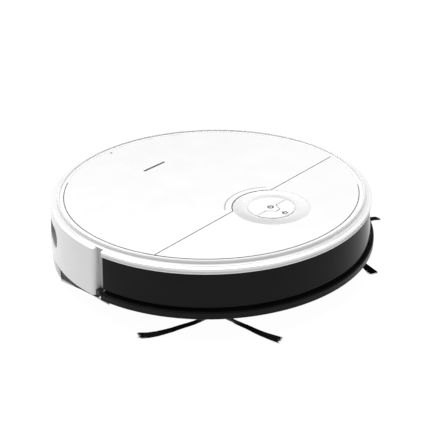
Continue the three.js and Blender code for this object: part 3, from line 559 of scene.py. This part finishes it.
def build_apron(side, label):
    """The dark apron under the housing, with a grey bar along its lower edge."""
    line = [(x, side * y, z) for x, y, z in LOWER_EDGE]
    bars = join(strand(line[:3], (1.4, 1.2, 0.5), 12), strand(line[5:], (0.9, 0.9, 0.7), 12))
    bm = bmesh.new()
    columns = []
    for x, y, z in LOWER_EDGE[:6]:
        top = 0.99 * y
        corners = ((y, z - 0.5), (y, z + 0.4), (top + 1, 21.4), (top - 1, 21.4), (y - 2, z - 0.5))
        columns.append([bm.verts.new((x * MM, side * wide * MM, high * MM)) for wide, high in corners])
    piece(f"{label}_apron", tidy(skin(bm, columns)), "base_black")
    piece(f"{label}_apron_edge", bars, "skirt_grey")


def to_recess(bm, radius):
    """Turns a piece drawn flat, with its outer side up, into the oval recess at that radius."""
    upright = Matrix(((0, 0, 1, radius * MM), (1, 0, 0, 0), (0, 1, 0, SOCKET_Z * MM), (0, 0, 0, 1)))
    lean = Matrix.Rotation(-atan2(BODY_R - EDGE_R, EDGE_Z - LIP_FOOT_Z), 4, "X")
    bm.transform(Matrix.Rotation(SOCKET_TURN, 4, "Z") @ upright @ lean)
    return bm


def build_recess():
    """The dished oval plate with the power rocker in its frame."""
    depth_r = BODY_R - 8.2
    dish = []
    bm = bmesh.new()
    for inset, height in ((0.3, -4), (0.3, 4.6), (1.1, 4.3), (3.4, 0.5), (4.8, 0)):
        ring = capsule_outline(SOCKET_W - 2 * inset, SOCKET_H - 2 * inset, steps=12)
        dish.append([bm.verts.new((x * MM, y * MM, height * MM)) for x, y in ring])
    slot = box(-10.5, 10.5, -7, 7, -10, 8)
    plate = carve(to_recess(tidy(skin(bm, dish)), depth_r), to_recess(slot, depth_r))
    piece("switch_recess_plate", plate, "grey_plastic", stands_for="socket_plate", edge=0.25)
    half = 9.4
    crown = [half * (i / 10 - 1) for i in range(1, 20)]
    outline = ([(-5, -3), (-half, 1.1)] + [(x, 1.7 - 2.1 * (1 - (x / half) ** 2) + 0.064 * x) for x in crown]
               + [(half, 2.3), (5, -3)])
    rocker = raise_outline(outline, -6.2, 6.2)
    rocker.transform(Matrix(((1, 0, 0, 0), (0, 0, 1, 0), (0, 1, 0, 0), (0, 0, 0, 1))))
    bmesh.ops.recalc_face_normals(rocker, faces=rocker.faces)
    piece("rocker_key", to_recess(rocker, depth_r), "accent_red", "rocker", "power_rocker", edge=0.4)


# ---- bumper ----

def build_bumper():
    """Three strips round the front: the white shoulder, the glossy wall and the lower lip."""
    inner = BUMPER_IN_R
    trim = [(FLANGE_R, FLANGE_Z)] + shoulder(FLANGE_R, FLANGE_Z)[1:-1] + [
        (EDGE_R, EDGE_Z, 0.35), (169.2, 68.1, 0.8), (170.1, 67.0, 0.5), (169.8, 65.8, 0.3), (inner, 65.8),
        (inner, 70.4), (FLANGE_R, 71.4)]
    wall = [(TRIM_FOOT_R, TRIM_FOOT_Z - 0.9, 0.25), (BAND_FOOT_R, BAND_FOOT_Z + 1, 0.6),
            (168.2, BAND_FOOT_Z + 0.6, 0.3), (168.2, LIP_TOP_Z - 1.4), (inner, LIP_TOP_Z - 1.4),
            (inner, TRIM_FOOT_Z - 0.9)]
    lip = [(inner, LIP_FOOT_Z), (172.4, LIP_FOOT_Z), (172.8, 20.7), (LIP_R, 20.7), (LIP_R, 27.2, 1.2),
           (LIP_R - 1.6, 28.3, 0.6), (172.6, 27.4, 0.4), (170, 27.2, 0.5), (169.2, LIP_TOP_Z - 1.5),
           (inner, LIP_TOP_Z - 1.5)]
    for name, profile, look, node, edge in (("bumper_shoulder", trim, "shell_white", "bumper_trim", 0.3),
                                            ("bumper_wall", wall, "band_black", "bumper_band", 0.4),
                                            ("bumper_foot", lip, "lip_black", "bumper_lip", 0.4)):
        strip = lathe(fillet(profile), -BUMPER_END, BUMPER_END, 170)
        piece(name, strip, look, "bumper", node, edge=edge)


# ---- control disc ----

KEY_FOOT_Z, KEY_TOP_Z = 70, 74


def build_controls():
    """The dished ring, the two keys inside it, and the strips between them: a dark one in the keys' split
    line, painted shade, and a grey one round the keys.
    """
    outer, inner = CONTROL_OUT_R - 0.8, CONTROL_IN_R + 0.9
    dish = [(outer + (inner - outer) * i / 16, 74.35 - 1.3 * sin(i / 16 * pi / 2)) for i in range(17)]
    profile = fillet([(CONTROL_IN_R, 66), (CONTROL_OUT_R, 66), (CONTROL_OUT_R, 74.4, 0.4)] + dish
                     + [(CONTROL_IN_R, 73.3, 0.3)])
    ring = lathe(profile, steps=192)
    centre = (CONTROL_X, 0, 0)
    piece("dished_ring", ring, "silver_ring", stands_for="control_ring", at=centre)
    for name, node, body, rear in (("power_key_cap", "power_button", "power_key", True),
                                   ("dock_key_cap", "dock_button", "dock_key", False)):
        cap = raise_outline(button_outline(rear), KEY_FOOT_Z, KEY_TOP_Z)
        stem = shift(round_bar(4.5, 2.5), -12 if rear else 15, 0, 66)
        piece(name, shift(join(cap, stem), CONTROL_X), "shell_white", body, node, edge=0.3)
    # Painted shade: a dark strip down the split line between the keys.
    seal = raise_outline(button_split(-0.33) + button_split(0.33)[::-1], 72.6, KEY_TOP_Z - 0.12)
    piece("key_split_shade_strip", shift(seal, CONTROL_X), "tyre_rubber")
    surround = lathe([(23.84, 72.2), (24.26, 72.2), (24.26, 73.15), (23.84, 73.15)], steps=96)
    piece("key_surround", surround, "deck_white", at=centre)
    build_icons()


def button_split(shift_x, steps=40):
    """The S-shaped line between the two keys: straight, round the power sign, straight again."""
    points = []
    for i in range(steps + 1):
        y = -10.5 + 19.2 * i / steps
        lift = min(1.0, 1.35 * (0.5 + 0.5 * cos(pi * (y + 0.9) / 9.6)))
        points.append((0.6 + 8.8 * lift + shift_x, y))
    return points


def button_outline(rear):
    line = button_split(-0.36 if rear else 0.36)
    x = line[0][0]
    turn = acos(x / BUTTON_R)
    if rear:
        return line + arc(0, 0, BUTTON_R, turn, tau - turn, 72)
    return line[::-1] + arc(0, 0, BUTTON_R, -turn, turn, 72)


def build_icons():
    """Generic signs, flush on the keys: a broken circle with a bar, and a plain house."""

    def stroke(points, half=0.66):
        parts = []
        for (ax, ay), (bx, by) in zip(points, points[1:]):
            length = hypot(bx - ax, by - ay)
            bar = box(-half, length + half, -half, half, KEY_TOP_Z - 0.05, KEY_TOP_Z + 0.03)
            parts.append(shift(bar, ax, ay, 0, atan2(by - ay, bx - ax)))
        return parts

    power = stroke(arc(-0.9, 0, 2.7, radians(-140), radians(140), 20)) + stroke([(-0.9, 0), (-4.3, 0)])
    piece("power_sign", shift(join(*power), CONTROL_X), "print_grey", "power_key")
    house = stroke([(20.4, -2.1), (17.4, -2.1), (17.4, 2.1), (20.4, 2.1), (20.4, -2.1)], 0.54)
    house += stroke([(17.8, -2.9), (15.4, 0), (17.8, 2.9)], 0.54)
    house = [shift(part, 0, -1.5) for part in house]
    piece("home_sign", shift(join(*house), CONTROL_X), "print_grey", "dock_key")


# ---- underside ----

PAN_WALL_R, PAN_EDGE_R, PAN_EDGE_Z = 157, 171.5, 20.5
SCREW_PLACES = [(x, side * y) for x, y in ((-50, 60), (10, 60), (84, 24), (112, 72), (133, 40), (62, 122),
                                           (-58, 120)) for side in (1, -1)]
CLIFF_TURNS = (-66, 0, 66)


def build_base():
    """The moulded pan with its wells, screw holes and vents, and the raised floor over the water tank."""
    wall, cut_x = PAN_WALL_R, TANK_X + 2
    pan = lathe(fillet([(0, BASE_Z), (BASE_FLOOR_R, BASE_Z, 4), (PAN_EDGE_R, PAN_EDGE_Z, 0.8),
                        (wall, PAN_EDGE_Z), (wall, 69.9), (153, 69.9), (153, 13.4), (147, 10), (0, 10)]))
    pan = clip(pan, (cut_x, 0, 0), (-1, 0, 0))
    tail_floor = lathe([(0, 21.8), (156, 21.8), (156, 24.5), (0, 24.5)], steps=160)
    tail_floor = clip(tail_floor, (TANK_X + 4, 0, 0), (1, 0, 0))
    wall_turn = acos(cut_x / wall)
    rear_wall = lathe([(153, 24.6), (wall, 24.6), (wall, 69.9), (153, 69.9)], wall_turn, tau - wall_turn, 120)
    step = box(cut_x, TANK_X + 4.5, -131, 131, BASE_Z, 24.5)
    cuts = [box(27, 73, -89, 89, 0, 12), box(-59, 22, -40, 40, 0, 12), cylinder_cut(124, 0, 19.5)]
    for side in (1, -1):
        cuts += [side_box(-58, 39, 96, 129, side), cylinder_cut(SIDE_BRUSH[0], side * SIDE_BRUSH[1], 13, 20),
                 side_box(111, 125, 33, 51, side)]
    cuts += [cliff_slab(turn, 0.4, -3, 3) for turn in CLIFF_TURNS]
    for turn in (-24, -12, 12, 24):
        vent = raise_outline([(x + 94, y) for x, y in capsule_outline(2, 16)], 6, 8)
        cuts.append(shift(vent, turn=radians(turn)))
    cuts += [cylinder_cut(x, y, 2.6, 8.6) for x, y in SCREW_PLACES]
    piece("base_pan", carve(pan, *cuts), "base_black", stands_for="chassis_base", edge=0.3)
    piece("base_tail", join(tail_floor, rear_wall, step), "base_black", edge=0.3)
    screws = join(*[screw_head(x, y, 7.6) for x, y in SCREW_PLACES])
    piece("base_screws", screws, "steel", edge=0.1)


def cliff_slab(turn, spare, low, high):
    """A rounded slab set square to the sloping edge of the base."""
    slab = raise_outline(capsule_outline(9 + 2 * spare, 22 + 2 * spare, 3), low, high)
    shift(slab, turn=-atan2(13.9, PAN_EDGE_R - BASE_FLOOR_R), axis="Y")
    return shift(shift(slab, (BASE_FLOOR_R + PAN_EDGE_R) / 2 - 3, 0, 12.35), turn=radians(turn))


def build_cliff_sensors():
    """Dark windows set in the sloping edge of the base."""
    for i, turn in enumerate(CLIFF_TURNS):
        window = cliff_slab(turn, 0, 0.3, 2.6)
        piece(f"sensor_window_{i + 1}", window, "sensor_window", stands_for=f"cliff_window_{i + 1}", edge=0.3)


def cylinder_cut(x, y, r, top=14.0):
    return shift(round_bar(top + 2, r, 48, 0), x, y, -2)


def side_box(x0, x1, y0, y1, side):
    return side_slab(x0, x1, y0, y1, side, -1, 14)


def side_slab(x0, x1, y0, y1, side, z0, z1):
    return box(x0, x1, min(side * y0, side * y1), max(side * y0, side * y1), z0, z1)


def screw_head(x, y, z, r=2.0):
    """A pan head with a cross recess, facing down."""
    head = lathe(fillet([(0, 0), (r, 0, 0.5), (r, 1, 0.1), (0, 1)]), steps=24)
    cross = [box(-1.2, 1.2, -0.22, 0.22, -1, 0.5), box(-0.22, 0.22, -1.2, 1.2, -1, 0.5)]
    return shift(carve(head, *cross), x, y, z)


DOOR_SCREWS = [(-53, 34), (-53, -34)]


def build_battery_door():
    door = raise_outline([(x - 18.5, y) for x, y in capsule_outline(80.4, 79.4, 4)], BASE_Z, BASE_Z + 2.4)
    grip = shift(raise_outline(capsule_outline(9, 26), BASE_Z - 1, BASE_Z + 1.4), 12)
    holes = [cylinder_cut(x, y, 2.4, 8.4) for x, y in DOOR_SCREWS]
    ribs = [box(-46 + i * 5, -45 + i * 5, -28, 28, BASE_Z - 1, BASE_Z + 0.35) for i in range(9)]
    door = carve(door, grip, *holes, *ribs)
    piece("battery_cover", door, "base_black", stands_for="battery_door", edge=0.25)
    screws = join(*[screw_head(x, y, 7.5, 1.9) for x, y in DOOR_SCREWS])
    piece("battery_cover_screws", screws, "steel", edge=0.08)


def build_contacts():
    for side, label in SIDES:
        plate = raise_outline(capsule_outline(12, 16, 2.5), 6.4, 7.4)
        spring = lathe(fillet([(0, 6.1), (3.2, 6.3, 0.6), (5, 6.9), (0, 6.9)]), steps=48)
        plate = shift(join(plate, spring), 118, side * 42)
        node = f"{label}_charging_contact"
        piece(f"{label}_contact_plate", plate, "contact_metal", stands_for=node, edge=0.3)


# ---- drive wheels and caster ----

def build_wheel(side, label):
    """Tyre with a chevron tread, and a spoked rim."""
    centre = (WHEEL_X, side * WHEEL_Y, WHEEL_R)
    half, r, rows = 10.0, WHEEL_R, 30
    carcass = lathe(fillet([(25.8, -half, 0.8), (r - 2.4, -half, 1.4), (r - 2.2, -half + 2),
                            (r - 2.2, half - 2), (r - 2.4, half, 1.4), (25.8, half, 0.8)]), steps=96)
    lugs = []
    for i in range(rows):
        for hand in (1, -1):
            lug = box(-1.5, 1.5, -0.2, half - 0.9, r - 2.6, r)
            for v in lug.verts:
                v.co.x += 0.28 * abs(v.co.y)
                v.co.z -= 0.5 * v.co.x ** 2 / (r * MM)
                v.co.y *= hand
            shift(lug, turn=tau * (i + (0.5 if hand < 0 else 0)) / rows, axis="Y")
            bmesh.ops.recalc_face_normals(lug, faces=lug.faces)
            bmesh.ops.bevel(lug, geom=lug.edges[:], offset=0.25 * MM, segments=1, affect="EDGES")
            lugs.append(lug)
    carcass.transform(Matrix.Rotation(pi / 2, 4, "X"))
    tyre = join(carcass, *lugs)
    limit = r * MM
    for v in tyre.verts:
        reach = hypot(v.co.x, v.co.z)
        if reach > limit:
            v.co.x *= limit / reach
            v.co.z *= limit / reach
    piece(f"{label}_tread", tyre, "tyre_rubber", f"{label}_wheel", f"{label}_tyre", at=centre)
    build_rim(side, label, centre)


def build_rim(side, label, centre):
    """The wheel's rim with its hub and six spokes."""
    rim = lathe(fillet([(22.5, -9.2), (25.6, -9.6, 0.5), (25.6, 9, 0.5), (23.8, 9, 0.5), (23.2, 5.4),
                        (4.2, 5.4), (4.2, 3.4), (22.5, 3.4)]), steps=96)
    hub = lathe(fillet([(0, 3.5), (8, 3.5), (8, 7.4, 0.6), (5.6, 9.4, 1), (0, 9.4)]), steps=64)
    spokes = [shift(box(7, 23.6, -1.6, 1.6, 5, 7.6), turn=i * tau / 6) for i in range(6)]
    inner = lathe([(4.2, -9.2), (7, -9.2), (7, 3.6), (4.2, 3.6)], steps=48)
    whole = join(rim, hub, inner, *spokes)
    whole.transform(Matrix.Rotation(-side * pi / 2, 4, "X"))
    wheel = f"{label}_wheel"
    piece(f"{label}_rim", whole, "grey_plastic", wheel, f"{wheel}_hub", edge=0.25, at=centre)


def build_caster():
    low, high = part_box("caster_wheel")
    centre = [(low[i] + high[i]) / 2 / MM for i in range(3)]
    r, half = 12.5, 7
    profile = [(2.1, -half), (10.2, -half, 0.6), (r, -half + 1.8, 1.4), (r, -1.2, 0.3), (11.6, -0.8),
               (11.6, 0.8), (r, 1.2, 0.3), (r, half - 1.8, 1.4), (10.2, half, 0.6), (2.1, half)]
    wheel = lathe(fillet(profile), steps=96)
    wheel.transform(Matrix.Rotation(pi / 2, 4, "X"))
    piece("caster_tread", wheel, "caster_grey", "caster_roller", "caster_wheel", at=centre)


# ---- brushes ----

def strand(points, radii, sides=5):
    """A thin round hair along a list of points, closed at both ends."""
    bm = bmesh.new()
    rings = []
    for i, point in enumerate(points):
        along = Vector(points[min(i + 1, len(points) - 1)]) - Vector(points[max(i - 1, 0)])
        side = along.cross(Vector((0, 0, 1)))
        side = side.normalized() if side.length > 1e-6 else Vector((1, 0, 0))
        up = side.cross(along).normalized()
        middle, r = Vector(point), radii[i]
        turns = [tau * k / sides for k in range(sides)]
        rings.append([bm.verts.new((middle + r * (cos(t) * side + sin(t) * up)) * MM) for t in turns])
    skin(bm, rings)
    bmesh.ops.recalc_face_normals(bm, faces=bm.faces)
    return bm


# Each tuft's middle line, seen from above: (distance from the hub, direction in degrees).
RIGHT_TUFTS = (((5, -12), (15, -1), (30, 5), (46, 3), (68.5, 4.2)),
               ((5, -116), (23, -117), (36, -117), (52, -115), (68, -115.5), (82, -118.5)),
               ((5, 118), (40, 121), (60, 124), (74, 127)))
LEFT_TUFTS = (((5, -38), (30, -36), (61, -33), (86, -31)),
              ((5, 84), (40, 85), (60, 85.5), (69, 80)),
              ((5, -158), (40, -156), (60, -154), (74, -151)))


def smooth(t):
    return t * t * (3 - 2 * t)


def between(knots, d):
    """Smooth value at d through (distance, value) knots."""
    for (d0, v0), (d1, v1) in zip(knots, knots[1:]):
        if d <= d1:
            t = (d - d0) / (d1 - d0)
            return v0 + (v1 - v0) * (0.35 * smooth(t) + 0.65 * t)
    return knots[-1][1]


def tuft_height(d):
    """Height of a tuft's middle line: down from the hub, then along the floor."""
    return 5.0 - 3.2 * smooth(min(1.0, max(0.0, (d - 9) / 25)))


TUFT_HAIRS, GRIP_END = 220, 20  # hairs in a tuft, and how far from the hub they leave its rubber grip


def build_side_brush(side, label):
    """The hub with three rubber grips, each holding a tuft of single hairs."""
    body = f"{label}_side_brush"
    rng = Random(11 + side)
    centre = (SIDE_BRUSH[0], side * SIDE_BRUSH[1], 0)
    hub = lathe(fillet([(0, 8), (8.5, 8, 0.8), (8.5, 10, 0.4), (6, 12.6, 0.5), (2.4, 12.6), (2.4, 8.9),
                        (0, 8.9)]), steps=96)
    piece(f"{label}_brush_cap", hub, "grey_plastic", body, f"{label}_brush_hub", at=centre)
    grips, hairs = [lathe(fillet([(0, 6.1), (5.6, 6.1, 0.7), (8.2, 7.7, 0.3), (0, 7.7)]), steps=96)], []
    for knots in LEFT_TUFTS if side > 0 else RIGHT_TUFTS:
        arm = [on_tuft(knots, d) for d in (4, 8, 12, 16, 20, 24)]
        grips.append(strand(arm, (1.0, 1.5, 1.75, 1.75, 1.7, 1.65), 16))
        for i in range(3):
            cuff = [on_tuft(knots, 18.2 + 2 * i), on_tuft(knots, 19.2 + 2 * i)]
            grips.append(strand(cuff, (2.0, 2.0), 16))
        hairs += [tuft_hair(knots, rng) for _ in range(TUFT_HAIRS)]
    piece(f"{label}_brush_grips", join(*grips), "dark_plastic", body, at=centre)
    piece(f"{label}_brush_hair", join(*hairs), "bristle_black", body, f"{label}_brush_bristles", at=centre)
    piece(f"{label}_brush_screw", screw_head(0, 0, 5.9, 1.9), "steel", body, edge=0.08, at=centre)


def tuft_hair(knots, rng):
    """One hair at a random place in its tuft, some a little long or astray. The tuft widens outwards."""
    reach = knots[-1][0]
    spread, lift = rng.uniform(-1, 1), rng.uniform(-1, 1)
    if hypot(spread, lift) > 1:
        spread, lift = 0.6 * spread, 0.6 * lift
    length = reach - rng.uniform(0, 2.6) + (rng.uniform(0, 2.5) if rng.random() < 0.12 else 0)
    stray = rng.uniform(-1.6, 1.6) if rng.random() < 0.2 else 0
    path = []
    for k in range(9):
        d = GRIP_END + (length - GRIP_END) * k / 8
        t = (d - GRIP_END) / (reach - GRIP_END)
        half = 2.4 + 1.7 * t + 1.1 * t ** 4
        path.append(on_tuft(knots, d, spread * half + stray * t ** 5, lift * 1.35))
    return strand(path, [0.19] * 8 + [0.08], 4)


def on_tuft(knots, d, aside=0.0, lift=0.0):
    """A point beside a tuft's middle line, in the hub's own place."""
    turn = radians(between(knots, d))
    z = max(0.3, tuft_height(d) + lift)
    return (d * cos(turn) - aside * sin(turn), d * sin(turn) + aside * cos(turn), z)


# ---- main brush ----

ROLLER_X, ROLLER_Z, ROLLER_HALF, ROLLER_R = 50.0, 21.5, 82.0, 18.3
GUARD_RIBS, RIB_GAP, NOTCH_R = (-51, -17, 17, 51), 2.6, 13.6  # hair and blades are short at the guard's ribs


def roller_point(r, turn, y):
    """On the roller: radius, angle at the middle, and place along it; rows sweep back as a chevron."""
    turn += radians(0.9) * abs(y)
    return (r * cos(turn), y, r * sin(turn))


def build_roller():
    """A drum with three rows of hair and three rubber blades between them."""
    centre = (ROLLER_X, 0, ROLLER_Z)
    core = lathe(fillet([(0, -84), (7, -84, 0.5), (7, -82.5), (9, -82.5, 0.6), (9, 82.5, 0.6), (7, 82.5),
                         (7, 84, 0.5), (0, 84)]), steps=64)
    core.transform(Matrix.Rotation(pi / 2, 4, "X"))
    piece("roller_drum", core, "accent_red", "main_brush", "roller_core", at=centre)
    rng = Random(5)
    hairs, blades = [], []
    for row in range(6):
        turn = row * tau / 6
        if row % 2:
            blades += roller_blade(turn)
        else:
            hairs += roller_hair(turn, rng)
    piece("roller_hair", join(*hairs), "roller_grey", "main_brush", "roller_bristles", at=centre)
    piece("roller_blades", join(*blades), "dark_plastic", "main_brush", at=centre)


def roller_hair(turn, rng, foot=8.6):
    """One row of hair, in bunches of three."""
    hairs = []
    y = -ROLLER_HALF
    while y < ROLLER_HALF:
        near = min(abs(y - rib) for rib in GUARD_RIBS) < RIB_GAP
        for _ in range(3):
            start = turn + rng.uniform(-0.06, 0.06)
            reach = NOTCH_R if near else ROLLER_R - rng.uniform(0, 0.7)
            lean = rng.uniform(-0.05, 0.05)
            along = y + rng.uniform(-0.5, 0.5)
            path = [roller_point(foot + (reach - foot) * j / 3, start + lean * j / 3, along) for j in range(4)]
            hairs.append(strand(path, (0.17, 0.17, 0.15, 0.1), 4))
        y += 1.1
    return hairs


def roller_blade(turn):
    """One rubber blade, notched where the guard's ribs pass."""
    parts = []
    notches = [edge for rib in GUARD_RIBS for edge in (rib - RIB_GAP, rib + RIB_GAP)]
    stops = [-ROLLER_HALF] + notches + [ROLLER_HALF]
    for i, (y0, y1) in enumerate(zip(stops, stops[1:])):
        top = NOTCH_R if i % 2 else ROLLER_R - 0.2
        corners = [(8.4, 0.12), (top - 0.4, 0.05), (top, 0.015), (top, -0.015), (top - 0.4, -0.03),
                   (8.4, -0.12)]
        steps = max(2, int((y1 - y0) / 2))
        bm = bmesh.new()
        rings = []
        for k in range(steps + 1):
            y = y0 + (y1 - y0) * k / steps
            rings.append([bm.verts.new(Vector(roller_point(r, turn + part, y)) * MM) for r, part in corners])
        skin(bm, rings)
        bmesh.ops.recalc_face_normals(bm, faces=bm.faces)
        parts.append(bm)
    return parts


# ---- water tank and mop ----

def build_tank():
    """The smoked half-moon tank with its side ribs, plug and release key."""
    body = lathe(fillet([(0, 3.6), (166.5, 3.6, 0.8), (172.2, 5.6, 3), (174.1, 9.6, 1), (174.1, 21.1, 0.6),
                         (0, 21.1)]), steps=200)
    body = clip(body, (TANK_X, 0, 0), (1, 0, 0))
    pocket = box(-180, -164, -16, 16, 8, 16.5)
    plug_place = (-112, 70)
    grooves = [shift(raise_outline(capsule_outline(3, 60), 3, 4.2), x) for x in (-96, -140)]
    body = carve(body, pocket, cylinder_cut(*plug_place, 11, 23), *grooves)
    piece("tank_body", body, "tank_smoke", "tank", "water_tank", edge=0.3)
    ribs = []
    for i in range(25):
        turn = pi + radians(-48 + 4 * i)
        if abs(turn - pi) > radians(7):
            ribs.append(shift(box(172.6, 174.45, -0.35, 0.35, 10.5, 19.5), turn=turn))
    piece("tank_side_ribs", join(*ribs), "tank_smoke", "tank", edge=0.15)
    cap = lathe(fillet([(0, 19), (10.2, 19, 0.4), (10.6, 20.6, 0.3), (10.2, 21.15, 0.3), (7.4, 21.15, 0.2),
                        (7, 20.6), (0, 20.6)]), steps=96)
    pull = raise_outline(capsule_outline(3, 12), 20.4, 21.15)
    piece("tank_plug", shift(join(cap, pull), *plug_place), "dark_plastic", "tank", "tank_cap", edge=0.2)
    key = box(-174.6, -165.5, -15.5, 15.5, 8.5, 16)
    grips = [box(-175.2, -174, -11 + i * 4 - 0.6, -11 + i * 4 + 0.6, 9.6, 14.9) for i in range(6)]
    piece("tank_latch_key", carve(key, *grips), "grey_plastic", "tank_latch", "tank_release", edge=0.4)


MOP_R, MOP_CHORD_X, MOP_TOP_Z = 160.0, -78.0, 3.3


def build_mop():
    """A crowned microfibre pad with a sewn border and rows of loops."""
    bm = bmesh.new()
    rings = []
    for inset, z in ((0.3, 2.0), (0.0, 1.6), (0.6, 0.75), (3, 0.62), (4.2, 1.35), (5.4, 0.7), (9, 0.62),
                     (20, 0.6)):
        r, x = MOP_R - inset, MOP_CHORD_X - inset
        limit = acos(min(1, -x / r))
        edge = arc(0, 0, r, pi - limit, pi + limit, 120)
        top, bottom = edge[-1][1], edge[0][1]
        edge += [(x, top + (bottom - top) * k / 60) for k in range(1, 60)]
        rings.append([bm.verts.new((px * MM, py * MM, z * MM)) for px, py in edge])
    back = [bm.verts.new((v.co.x, v.co.y, MOP_TOP_Z * MM)) for v in rings[0]]
    skin(bm, [back] + rings)
    bmesh.ops.triangulate(bm, faces=[f for f in bm.faces if len(f.verts) > 4])
    bmesh.ops.recalc_face_normals(bm, faces=bm.faces)
    pad = piece("mop_pad", bm, "mop_fabric", "tank", "mop_cloth")
    stitches, count = [], 140
    for inset in (2.2, 2.9):
        r = MOP_R - inset
        limit = acos((inset - MOP_CHORD_X) / r)
        for i in range(count):
            stitch = box(-0.25, 0.25, -1.1, 1.1, 0.55, 0.95)
            stitches.append(shift(shift(stitch, r), turn=pi - limit + 2 * limit * (i + 0.5) / count))
    piece("mop_stitching", join(*stitches), "filter_paper", "tank", edge=0.15)


# ---- stage: floor, light and the photograph's camera ----

CAMERA_PLACE = Vector((0.54706, -0.63195, 0.46442))
CAMERA_AIM = Vector((0.01478, -0.00403, 0.040))
CAMERA_ROLL = radians(-0.848)
CAMERA_LENS = 70.372
FLOOR_HALF, FLOOR_GREY, FLOOR_GLOW = 150000, 0.06, 0.97
SKY = 0.3
SUN_STRENGTH, SUN_SPREAD, SUN_FROM = 3.25, radians(55), (-0.4, 0.3, 1.0)


def build_camera():
    camera = bpy.data.objects.new("camera", bpy.data.cameras.new("camera"))
    camera.data.lens = CAMERA_LENS
    camera.data.sensor_width = 36.0
    camera.data.clip_start = 0.01
    forward = (CAMERA_AIM - CAMERA_PLACE).normalized()
    level = forward.cross(Vector((0, 0, 1))).normalized()
    right = cos(CAMERA_ROLL) * level + sin(CAMERA_ROLL) * level.cross(forward)
    up = right.cross(forward)
    turn = Matrix((right, up, -forward)).transposed().to_4x4()
    camera.matrix_world = Matrix.Translation(CAMERA_PLACE) @ turn
    bpy.context.scene.collection.objects.link(camera)
    bpy.context.scene.camera = camera


def build_studio():
    """A pale floor under an even white sky, with one broad soft light from the upper left."""
    scene = bpy.context.scene
    scene.view_settings.view_transform = "Standard"
    floor = to_object("floor", box(-FLOOR_HALF, FLOOR_HALF, -FLOOR_HALF, FLOOR_HALF, -2, 0))
    white = Mat("floor_white", grey(FLOOR_GREY), 0.9, Emission_Color=(1, 1, 1, 1),
                Emission_Strength=FLOOR_GLOW)
    floor.data.materials.append(white.mat)
    world = bpy.data.worlds.new("studio")
    world.use_nodes = True
    sky = world.node_tree.nodes["Background"].inputs
    sky["Color"].default_value, sky["Strength"].default_value = (1, 1, 1, 1), SKY
    scene.world = world
    sun = bpy.data.objects.new("overhead", bpy.data.lights.new("overhead", "SUN"))
    sun.data.energy, sun.data.angle = SUN_STRENGTH, SUN_SPREAD
    sun.rotation_euler = Vector(SUN_FROM).to_track_quat("Z", "Y").to_euler()
    scene.collection.objects.link(sun)


def dress_cad_nodes():
    """Nodes whose CAD shape is right keep it, with rounded edges and a finished material."""
    slots = {row["node"]: row["material_slot"] for row in frame["record"]["subparts"]}
    for name, obj in frame["nodes"].items():
        if obj.hide_render:
            continue
        obj.data.materials.clear()
        obj.data.materials.append(LOOK[slots[name]])
        dress(obj, 0.35)


build_camera()
build_studio()
LOOK = make_materials()
build_ring()
build_top_panels()
build_rear_housing()
build_recess()
build_bumper()
build_controls()
build_base()
build_battery_door()
build_contacts()
for side, label in SIDES:
    build_wheel(side, label)
build_caster()
build_cliff_sensors()
for side, label in SIDES:
    build_side_brush(side, label)
build_roller()
build_tank()
build_mop()
dress_cad_nodes()
